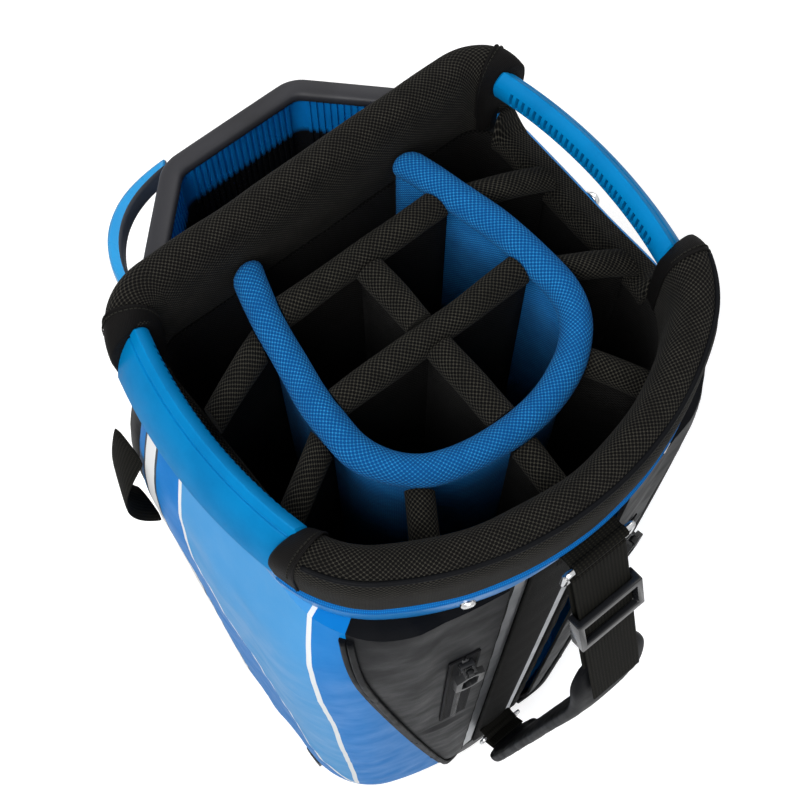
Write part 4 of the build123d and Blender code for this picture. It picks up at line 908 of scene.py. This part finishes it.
def make_well():
    """Putter sleeve, its rounded collar and the loop at its left."""
    back = CUFF[1] - 4.0 + 0.3
    profile = [(0.4, 838.4), (0.0, 840.5), (0.4, 844.2), (2.0, 846.4), (4.5, 847.2), (9.5, 847.2), (12.2, 846.4),
               (13.6, 844.4), (13.7, 838.4)]
    rim = cloth_grid("well_collar", sections(profile, lambda inset: well_run(inset, back)), COLLAR,
                     round_cols=True, cap=True)
    settle(modify(rim, "SUBSURF", levels=1), "bag", "moulded_grey", "putter_collar")
    levels = [FLOOR + (SLEEVE_TOP - FLOOR) * i / 14 for i in range(15)]
    back = CUFF[1] - BAND_INSET
    skin = [(1.2, z) for z in levels] + [(3.8, z) for z in reversed(levels)]
    sleeve = cloth_grid("putter_channel", sections(skin, lambda inset: well_run(inset, back)), POCKET,
                        round_cols=True, cap=True)
    settle(sleeve, "bag", "lining", "putter_sleeve")

    middle, turn = Vector((-72.0, 166.0, 0.0)), radians(45)
    along, out = Vector((cos(turn), sin(turn), 0)), Vector((-sin(turn), cos(turn), 0))
    rows = []
    for i in range(37):
        share = -1 + 2 * i / 36
        outer = middle + along * 49 * share + out * (25.5 * (1 - share * share) + 0.6)
        inner = middle + along * 41 * share + out * (16.5 * (1 - share * share) + 0.6)
        edge = (outer - inner) * 0.12
        rows.append([(*spot.xy, z) for spot, z in (
            (outer - edge, 815), (outer, 817), (outer + edge * 0.6, 824), (outer, 831), (outer - edge, 833),
            (inner + edge, 833), (inner, 831), (inner, 824), (inner, 817), (inner + edge, 815))])
    loop = cloth_grid("side_loop", rows, LOOP, round_cols=True, cap=True, wobble=0.5)
    loop.data.materials.append(LOOP_BACK)
    for face in loop.data.polygons:
        face.material_index = 1 if face.normal.xy.dot(out.xy) < -0.5 else 0
    smooth(modify(loop, "SUBSURF", levels=1), 60)
    settle(loop, "bag", "coated_blue", "towel_loop")


# Side pockets, spine and front pockets

def pocket_skin():
    """Outer skin of the left side pocket from foot to top, from the rear middle round to the front."""
    levels = [POCKET_LEVELS[0][0] + (POCKET_LEVELS[-1][0] - POCKET_LEVELS[0][0]) * i / 60 for i in range(61)]
    rows = []
    for z in levels:
        half, front, rear = pocket_levels(z)
        rows.append([(-(x - nx * 0.9), y - ny * 0.9, z)
                     for x, y, nx, ny in half_outline(half, front, rear, *POCKET_RADII)])
    tub = [(-(x - nx * 15.0), y - ny * 15.0) for x, y, nx, ny in half_outline(*CUFF)]

    def drawn_in(row, rise):
        """The row led in to the tub over three steps."""
        return [[(x + (a - x) * t, y + (b - y) * t, z + rise * t) for (x, y, z), (a, b) in zip(row, tub)]
                for t in (0.25, 0.6, 1.0)]

    return drawn_in(rows[0], -0.6)[::-1] + rows + drawn_in(rows[-1], 1.2)


def seam_normal():
    """Normal of the rear seam's plane, towards the spine."""
    inward = Vector((1.0, 0.6, 0.0))
    normal = (SEAM_FOOT - SEAM_TOP).cross(inward).normalized()
    return normal if normal.y < 0 else -normal


def panel_hold(spot):
    """How much of the swell a panel takes at a height: none at the low zip."""
    return min(1.0, max(0.0, (spot.z - 130) / 60)) * min(1.0, max(0.0, (811 - spot.z) / 60))


def gusset_hold(spot):
    """The rear gusset stays flat beside its zip."""
    return min(1.0, max(0.0, (abs(spot.x + 66) - 16) / 14)) if spot.z > 420 else 1.0


def mark_blocks(piece, normal):
    """Stores where the panel's stripe and inset lie: the share across the panel and the depth inside the inset."""
    mesh = piece.data
    uv = mesh.uv_layers["cloth"].data
    place = {loop.vertex_index: uv[loop.index].uv[1] for loop in mesh.loops}
    spots = [vert.co / MM for vert in mesh.vertices]
    ahead = sorted((p.z, place[i]) for i, p in enumerate(spots) if PANEL_FRONT_Y - p.y < 0.3)
    seam = sorted((p.z, place[i]) for i, p in enumerate(spots) if abs((p - SEAM_TOP).dot(normal)) < 0.3)
    across = mesh.attributes.new("across", "FLOAT", "POINT")
    inset = mesh.attributes.new("inset", "FLOAT", "POINT")
    foot, top = POCKET_LEVELS[0][0], POCKET_LEVELS[-1][0]
    for i, spot in enumerate(spots):
        rise = min(1.0, max(0.0, (spot.z - foot) / (top - foot)))
        begin, end = np.interp(spot.z, *zip(*ahead)), np.interp(spot.z, *zip(*seam))
        share = (place[i] - begin) / (end - begin)
        across.data[i].value = share
        fall = (1 - rise) / 0.86
        near = 0.24 + 0.46 * fall ** 1.2
        far = 0.90 - 0.20 * fall
        inset.data[i].value = min(share - near, far - share)


def make_pockets():
    """Side pockets: gloss panel, black gussets and the doubled piping along the rear seam."""
    normal = seam_normal()
    rows = pocket_skin()
    panel = keep_side(cloth_grid("panel_left", rows, PANEL), SEAM_TOP, normal)
    keep_side(panel, (0, PANEL_FRONT_Y, 0), (0, 1, 0))
    rear = keep_side(cloth_grid("gusset_rear_left", rows, POCKET), SEAM_TOP, -normal)
    keep_side(rear, (-REAR_EDGE, 0, 0), (1, 0, 0))
    keep_side(rear, (0, 40, 0), (0, 1, 0))
    front = keep_side(cloth_grid("gusset_front_left", rows, POCKET), (0, PANEL_FRONT_Y, 0), (0, -1, 0))
    keep_side(front, (-WELL["side_half"] + 0.7, 0, 0), (1, 0, 0))
    for piece, height, reach, hold in ((panel, 5.0, 26.0, panel_hold), (rear, 4.0, 20.0, gusset_hold),
                                       (front, 4.0, 14.0, None)):
        modify(piece, "SUBSURF", levels=1, subdivision_type="SIMPLE")
        if piece is panel:
            mark_blocks(panel, normal)
        swell(piece, height, reach, hold)
    lip = [v.co / MM for v in panel.data.vertices
           if abs((v.co / MM - SEAM_TOP).dot(normal)) < 0.05 and 59 < v.co.z / MM < 810]
    lip = sorted(lip, key=lambda p: p.z)[::2]
    outwards = Vector((-0.55, -0.83, 0.0))
    paths = [[p + outwards * 1.2 + normal * shift for p in lip] for shift in (-2.2, 2.2)]
    paths += [[(-p.x, p.y, p.z) for p in path] for path in paths]
    settle(tubes("seam_pipings", paths, 2.1, POCKET, sides=10), "bag", "coated_black", "edge_pipings")
    for piece, word, slot, node in ((panel, "panel", "gloss_blue", "side_panel"),
                                    (rear, "gusset_rear", "coated_black", "rear_gusset"),
                                    (front, "gusset_front", "coated_black", "front_gusset")):
        modify(piece, "SOLIDIFY", thickness=2.4 * MM, offset=-1.0)
        smooth(piece, 50)
        other = smooth(mirrored(piece, word + "_right"), 50)
        settle(piece, "bag", slot, node + "_left")
        settle(other, "bag", slot, node + "_right")


def make_spine():
    """Quilted spine panel between the pockets, with its two stays left bare."""
    low, high = POCKET_LEVELS[0][0] + 0.5, POCKET_LEVELS[-1][0] - 0.5
    rear_r, rear = CUFF[5], CUFF[2]
    strips = []
    for x0, x1 in ((-43.5, -33.0), (-19.0, 19.0), (33.0, 43.5)):
        rows = []
        for i in range(61):
            z = low + (high - low) * i / 60
            row = []
            for j in range(9):
                x = x0 + (x1 - x0) * j / 8
                tub = rear_r - rear - sqrt((rear_r - 10.5) ** 2 - x * x)
                puff = 2.2 * (1 - (2 * j / 8 - 1) ** 4) * (0.35 + 0.65 * abs(sin(pi * (z - low) / 62)) ** 0.5)
                row.append((x, tub - puff, z))
            rows.append(row)
        strip = cloth_grid("spine_strip", rows, LINING)
        strips.append(modify(strip, "SOLIDIFY", thickness=3.2 * MM, offset=-1.0))
    settle(joined(strips, "spine_pad"), "bag", "binding", "spine_panel")


def front_pocket(node, half, front, low, high, zip_z):
    """A boxed pocket with soft edges, sewn behind to the putter sleeve."""
    sides = [(half, SLEEVE_FACE_Y), (half, front), (-half, front), (-half, SLEEVE_FACE_Y)]
    line = rounded_line([Vector(p) for p in sides], (13.0, 13.0), steps=7)
    dense = densely(line, 6)
    seat = WELL["front_half"] - 0.5
    slope = [Vector((x, WELL["front"] - 0.4)) for x in (-seat, seat)]
    loop = dense + [slope[0].lerp(slope[1], i / 8) for i in range(9)]
    rows = []
    count = 44
    for i in range(count + 1):
        z = low + (high - low) * i / count
        edge = min(z - low, high - z)
        draw = 12.0 - sqrt(max(0.0, 144.0 - max(0.0, 12.0 - edge) ** 2)) if edge < 12 else 0.0
        flat = min(1.0, max(0.0, (abs(z - zip_z) - 14) / 20))
        row = []
        for p in loop:
            spot = Vector(p)
            if spot.y > WELL["front"] - 12.5 and p not in loop[len(dense):]:
                away = max(0.0, spot.y - WELL["front"]) / (front - WELL["front"])
                puff = 4.0 * flat * (1 - (spot.x / half) ** 2) * sin(pi * i / count) ** 0.5 * away
                crease = noise.noise(Vector((spot.x / 26, spot.y / 26, z / 40))) * 1.2 * flat
                spot.y += (puff + crease - draw) * away
                spot.x -= draw * 0.55 * spot.x / half
            row.append((spot.x, spot.y - 0.3 * (spot.y > WELL["front"] + 5), z))
        rows.append(row)
    piece = cloth_grid(node + "_cover", rows, POCKET, round_cols=True, cap=True)
    settle(piece, "bag", "coated_black", node)


# Zips: each runs in its own frame, X along the zip, Y across it and Z out of the pocket

def zip_frame(origin, along, out):
    """The frame of a zip from its origin and two of its axes."""
    along, out = Vector(along).normalized(), Vector(out).normalized()
    turn = Matrix((along, out.cross(along), out)).transposed().to_4x4()
    turn.translation = Vector(origin)
    return turn


LEAN = radians(11.67)
ZIPS = []
for SIDE in (-1, 1):
    ZIPS.append((zip_frame((SIDE * 148.326, 0, 108), (0, 1, 0), (SIDE * cos(LEAN), 0, -sin(LEAN))), -34, 62))
    ZIPS.append((zip_frame((SIDE * 66, -113.975, 0), (0, 0, 1), (SIDE * 0.20386, -0.979, 0)), 452, 686))
ZIPS.append((zip_frame((0, 222, 658), (1, 0, 0), (0, 1, 0)), -43, 43))
ZIPS.append((zip_frame((0, 240, 408), (1, 0, 0), (0, 1, 0)), -49, 49))


TAPE_HALF, COIL_PITCH, STITCH_PITCH = 11.0, 1.6, 3.2


def make_tapes():
    """Woven zip tapes, each with its two rows of coil turns and stitching along both edges."""
    pieces, turns, sewing = [], [], []
    for place, start, end in ZIPS:
        count = int((end - start) / 4)
        for low, high in ((-TAPE_HALF, -0.6), (0.6, TAPE_HALF)):
            profile = [(low, 0.1), (low, 1.0), (low + 0.5, 1.2), (high - 0.5, 1.2), (high, 1.0), (high, 0.1)]
            rows = [[place @ Vector((start + (end - start) * i / count, y, z)) for y, z in profile]
                    for i in range(count + 1)]
            pieces.append(cloth_grid("zip_tape", rows, ZIP_TAPE, round_cols=True, cap=True))
        for i in range(int((end - start - 1) / COIL_PITCH)):
            x = start + COIL_PITCH / 2 + COIL_PITCH * i
            turns += [[place @ Vector((x + 0.4 * side, side * y, z))
                       for y, z in ((2.3, 1.25), (1.6, 2.1), (0.2, 2.15), (-0.5, 1.7), (-0.4, 1.2))]
                      for side in (-1, 1)]
        for i in range(int((end - start - 2) / STITCH_PITCH)):
            x = start + 2 + STITCH_PITCH * i
            sewing += [[place @ Vector((x + d, y, 1.3 - abs(d) * 0.18)) for d in (-1.1, 0, 1.1)]
                       for y in (-8.6, 8.6)]
    pieces.append(tubes("zip_coils", turns, 0.32, COIL, sides=5))
    pieces.append(tubes("zip_stitches", sewing, 0.3, THREAD, sides=5))
    settle(joined(pieces, "zip_tapes_sewn"), "bag", "webbing", "zip_tapes")


def make_pulls():
    """Cast sliders with rounded edges and rubber loop pulls."""
    for word in ("left_low", "right_low", "left_rear", "right_rear", "upper", "ball"):
        slider = softened("zip_slider_" + word, TRIM, 0.5)
        settle(slider, "zip_slider_" + word, "slider_black", "zip_slider_" + word)
        pull = softened("zip_pull_" + word, RUBBER, 1.3, 4)
        settle(pull, "zip_pull_" + word, "slider_black", "zip_pull_" + word)


# Strap

UPPER_BAR, LOWER_BAR, REACH = Vector((-133.0, 838.0)), Vector((-125.0, 150.0)), 16.0
WIRE, LAYER = 2.0, 2.9
WEB_WIDTH, KEEPER_WIDTH, RING_WIDTH = 38.0, 36.0, 50.0
UPPER_LAYERS, LOWER_LAYER = (158.0, 122.0), 26.0  # lengths of the webbing either side of each ring
PAD_HALF, PAD_CROWN, PAD_SEAM = 29.0, 5.5, 20.0  # half width, half thickness and how far out its grooves lie
TAB_TOP, TAB_TALL, TAB_STAND = 758.0, 90.0, 12.0


def run_axes(bar, angle):
    """Origin on a ring's lower bar, and the directions along and across the webbing there."""
    turn = radians(angle)
    return bar - Vector((0, REACH)), Vector((cos(turn), sin(turn))), Vector((-sin(turn), cos(turn)))


UPPER = run_axes(UPPER_BAR, -107)
LOWER = run_axes(LOWER_BAR, 120)


def laid(axes, along, across):
    """A point at a distance along and across the webbing."""
    origin, run, side = axes
    return origin + run * along + side * across


def ribbon(name, line, width, material, thick=1.4):
    """Webbing along a line of (y, z) points in the bag's middle plane."""
    rows = []
    line = [Vector(p) for p in line]
    half, edge = width / 2, thick / 2
    face = [-half + 0.7 + (width - 1.4) * j / 12 for j in range(13)]
    ring = [(-half, 0.0)] + [(x, edge) for x in face] + [(half, 0.0)] + [(x, -edge) for x in reversed(face)]
    for i, spot in enumerate(line):
        out = out_of(line, i)
        rows.append([(x, *(spot + out * t)) for x, t in ring])
    return cloth_grid(name, rows, material, round_cols=True, cap=True)


def folded(axes, right, left):
    """Line of webbing folded round a bar, from the end of its right layer to the end of its left one."""
    line = [laid(axes, right * (1 - i / 24), -LAYER) for i in range(25)]
    line += [laid(axes, -LAYER * sin(a), -LAYER * cos(a)) for a in [pi * i / 12 for i in range(1, 12)]]
    return line + [laid(axes, left * i / 16, LAYER) for i in range(17)]


def keeper(name, bar, face_y):
    """Tab sewn to the bag and looped round a ring's upper bar."""
    line = [Vector((face_y - 0.8, bar.y - 20 + 17 * i / 8)) for i in range(9)]
    line += [Vector((face_y - 0.8 - 1.4 * sin(a), bar.y - 2.2 + 1.5 * (1 - cos(a)))) for a in (0.6, 1.2)]
    turns = [-0.25 - (2 * pi - 0.5) * i / 20 for i in range(21)]
    line += [bar + Vector((LAYER * cos(a), LAYER * sin(a))) for a in turns]
    line.append(Vector((face_y - 1.2, bar.y + 0.75)))
    return ribbon(name, line, KEEPER_WIDTH, WEBBING, 1.3)


def wire_ring(name, bar):
    """Rectangular wire ring with rounded corners, hanging from its upper bar."""
    half = RING_WIDTH / 2 - WIRE
    loop = [Vector(p) for p in ((0, 0), (half, 0), (half, -REACH), (-half, -REACH), (-half, 0), (0, 0))]
    line = rounded_line(loop, (3.0, 3.0, 3.0, 3.0), steps=6)[:-1]
    return tubes(name, [[(p.x, bar.x, bar.y + p.y) for p in line]], WIRE, NICKEL, closed=True, sides=16)


def make_strap():
    """Rings, tabs, webbing, padded shoulder strap and adjuster."""
    settle(keeper("ring_tab_upper", UPPER_BAR, 4.0 - CUFF[2] - 1.2), "bag", "webbing", "strap_keeper_upper")
    settle(keeper("ring_tab_lower", LOWER_BAR, -115.3), "bag", "webbing", "strap_keeper_lower")
    for word, bar in (("upper", UPPER_BAR), ("lower", LOWER_BAR)):
        settle(wire_ring("wire_ring_" + word, bar), "strap_ring_" + word, "nickel", "strap_ring_" + word)
    upper = ribbon("webbing_upper", folded(UPPER, *UPPER_LAYERS), WEB_WIDTH, WEBBING)
    lower = ribbon("webbing_lower", folded(LOWER, LOWER_LAYER, LOWER_LAYER), WEB_WIDTH, WEBBING)
    settle(upper, "strap", "webbing", "strap_webbing_upper")
    settle(lower, "strap", "webbing", "strap_webbing_lower")
    route = [laid(UPPER, UPPER_LAYERS[1], LAYER + 1.5), laid(UPPER, UPPER_LAYERS[1] + 50.0, LAYER + 1.5),
             laid(LOWER, LOWER_LAYER + 19.0, 0.0), laid(LOWER, LOWER_LAYER, 0.0)]
    line = densely(rounded_line(route, (200.0, 50.0), steps=10), 8)
    rows = []
    for i, spot in enumerate(line):
        out = out_of(line, i)
        end = min(i, len(line) - 1 - i)
        draw = 1.0 - 0.34 * max(0.0, 1 - end / 3.0) ** 2
        thin = 1.0 - 0.45 * max(0.0, 1 - end / 2.5) ** 2
        ring = []
        for j in range(28):
            a = 2 * pi * j / 28
            x = PAD_HALF * draw * abs(cos(a)) ** 0.45 * (1 if cos(a) > 0 else -1)
            crown = PAD_CROWN * thin * abs(sin(a)) ** 0.6 * (1 if sin(a) > 0 else -1)
            groove = 0.85 if abs(abs(x) - PAD_SEAM) < 2 else 1.0
            ring.append((x, *(spot + out * crown * groove)))
        rows.append(ring)
    pad = cloth_grid("shoulder_pad", rows, POCKET, round_cols=True, cap=True, wobble=0.5)
    smooth(modify(pad, "SUBSURF", levels=1), 60)
    settle(pad, "strap", "coated_black", "strap_pad")
    settle(softened("strap_adjuster", TRIM, 0.7), "strap_adjuster", "slider_black", "strap_adjuster")


def make_side_tab():
    """Webbing tab folded out of the left pocket's front seam."""
    ring = [(-15.0, 0.0), (-14.0, 0.8), (0.0, 1.0), (14.0, 0.8),
            (15.0, 0.0), (14.0, -0.8), (0.0, -1.0), (-14.0, -0.8)]
    rows = []
    for i in range(33):
        share = i / 32
        z = TAB_TOP - TAB_TALL * share
        stand = TAB_STAND * sin(pi * share) ** 0.8
        x = -pocket_levels(z)[0] - 1.5 - stand
        y = 98.0 - 6.0 * share
        turn = 0.35 * sin(pi * share)
        rows.append([(x + w * sin(turn) - t, y + w * cos(turn), z) for w, t in ring])
    tab = cloth_grid("side_tab", rows, WEBBING, round_cols=True, cap=True, wobble=0.8)
    settle(smooth(modify(tab, "SUBSURF", levels=1), 60), "bag", "webbing")


# Hard pieces carried over with rounded edges

def make_hard_pieces():
    """Base and studs with rounded edges; the frame, liner and stays only get their finish."""
    settle(softened("base_tray", SHELL, 1.2), "bag", "moulded_black", "base_tray")
    settle(softened("hood_studs", NICKEL, 0.6), "bag", "nickel", "hood_studs")
    for node, material in (("cuff_frame", SHELL), ("putter_liner", LINER), ("spine_stays", STAY)):
        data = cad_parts[node].data
        data.materials.clear()
        data.materials.append(material)


make_pads()
make_bindings()
make_band()
make_handles()
make_tube()
make_dividers()
make_well()
make_pockets()
make_spine()
front_pocket("upper_pocket", 58.0, 222.0, 480.0, 690.0, 658.0)
front_pocket("ball_pocket", 64.0, 240.0, 90.0, 440.0, 408.0)
make_tapes()
make_pulls()
make_strap()
make_side_tab()
make_hard_pieces()


# Stage

def lamp(name, spot, aim, size, power):
    """A square soft light aimed at a point, in metres."""
    light = bpy.data.lights.new(name, "AREA")
    light.size, light.energy = size, power
    piece = bpy.data.objects.new(name, light)
    piece.location = spot
    piece.rotation_euler = (Vector(aim) - Vector(spot)).to_track_quat("-Z", "Y").to_euler()
    bpy.context.scene.collection.objects.link(piece)


def looked_at(material):
    """One for rays that come from the camera, a mirror-like surface or glass, and zero for the rest."""
    total = add(material, "LightPath", out="Is Camera Ray")
    for kind in ("Is Glossy Ray", "Is Transmission Ray"):
        total = add(material, "Math", {0: total, 1: add(material, "LightPath", out=kind)}, operation="MAXIMUM")
    return total


def set_stage():
    """White floor that keeps its shadow, three soft lamps, an even surround and the camera."""
    bpy.ops.object.select_all(action="DESELECT")
    bpy.ops.mesh.primitive_plane_add(size=12)
    floor = bpy.context.active_object
    floor.name = "floor"
    # Matt paper: white to the eye and in mirrors, and grey to the light that it throws back
    paper, shader = finish_of("white_paper")
    seen = looked_at(paper)
    away = add(paper, "VectorMath", {0: add(paper, "TexCoord", out="Object")}, out="Value", operation="LENGTH")
    glow = add(paper, "MapRange", {"Value": away, "From Min": 0.6, "From Max": 2.6, "To Min": 0.34, "To Max": 1.0})
    lift = add(paper, "Math", {0: add(paper, "LightPath", out="Is Camera Ray"), 1: glow}, operation="MULTIPLY")
    tone = add(paper, "Mix", {0: seen, MIX_A: colour("959595"), MIX_B: colour("fcfcfc")},
               data_type="RGBA", out=2)
    fill(paper, shader, {"Base Color": tone, "Roughness": 0.95, "Specular IOR Level": 0.0,
                         "Emission Color": colour("ffffff"), "Emission Strength": lift})
    floor.data.materials.append(paper)
    lamp("key", (-1.6, -0.6, 3.0), (0, 0, 0.6), 1.8, 75)
    lamp("fill", (1.8, 1.0, 2.6), (0, 0, 0.7), 2.0, 26)
    lamp("front", (-0.8, -2.4, 1.4), (0, 0, 0.6), 1.6, 14)
    world = bpy.data.worlds.new("studio")
    world.use_nodes = True
    strength = add(world, "MapRange", {"Value": looked_at(world), "To Min": 0.3, "To Max": 1.0})
    fill(world, world.node_tree.nodes["Background"], {"Color": colour("ffffff"), "Strength": strength})
    bpy.context.scene.world = world
    bpy.context.scene.view_settings.view_transform = "Standard"
    camera = bpy.data.cameras.new("camera")
    camera.lens, camera.sensor_width = 63.0, 36.0
    eye = bpy.data.objects.new("camera", camera)
    back, right = Vector((-0.224, -0.280, 0.934)).normalized(), Vector((0.780, -0.625, 0.0)).normalized()
    turn = Matrix((right, back.cross(right), back)).transposed().to_4x4()
    turn.translation = Vector((-0.197, -0.2144, 1.540))
    eye.matrix_world = turn
    bpy.context.scene.collection.objects.link(eye)
    bpy.context.scene.camera = eye


set_stage()
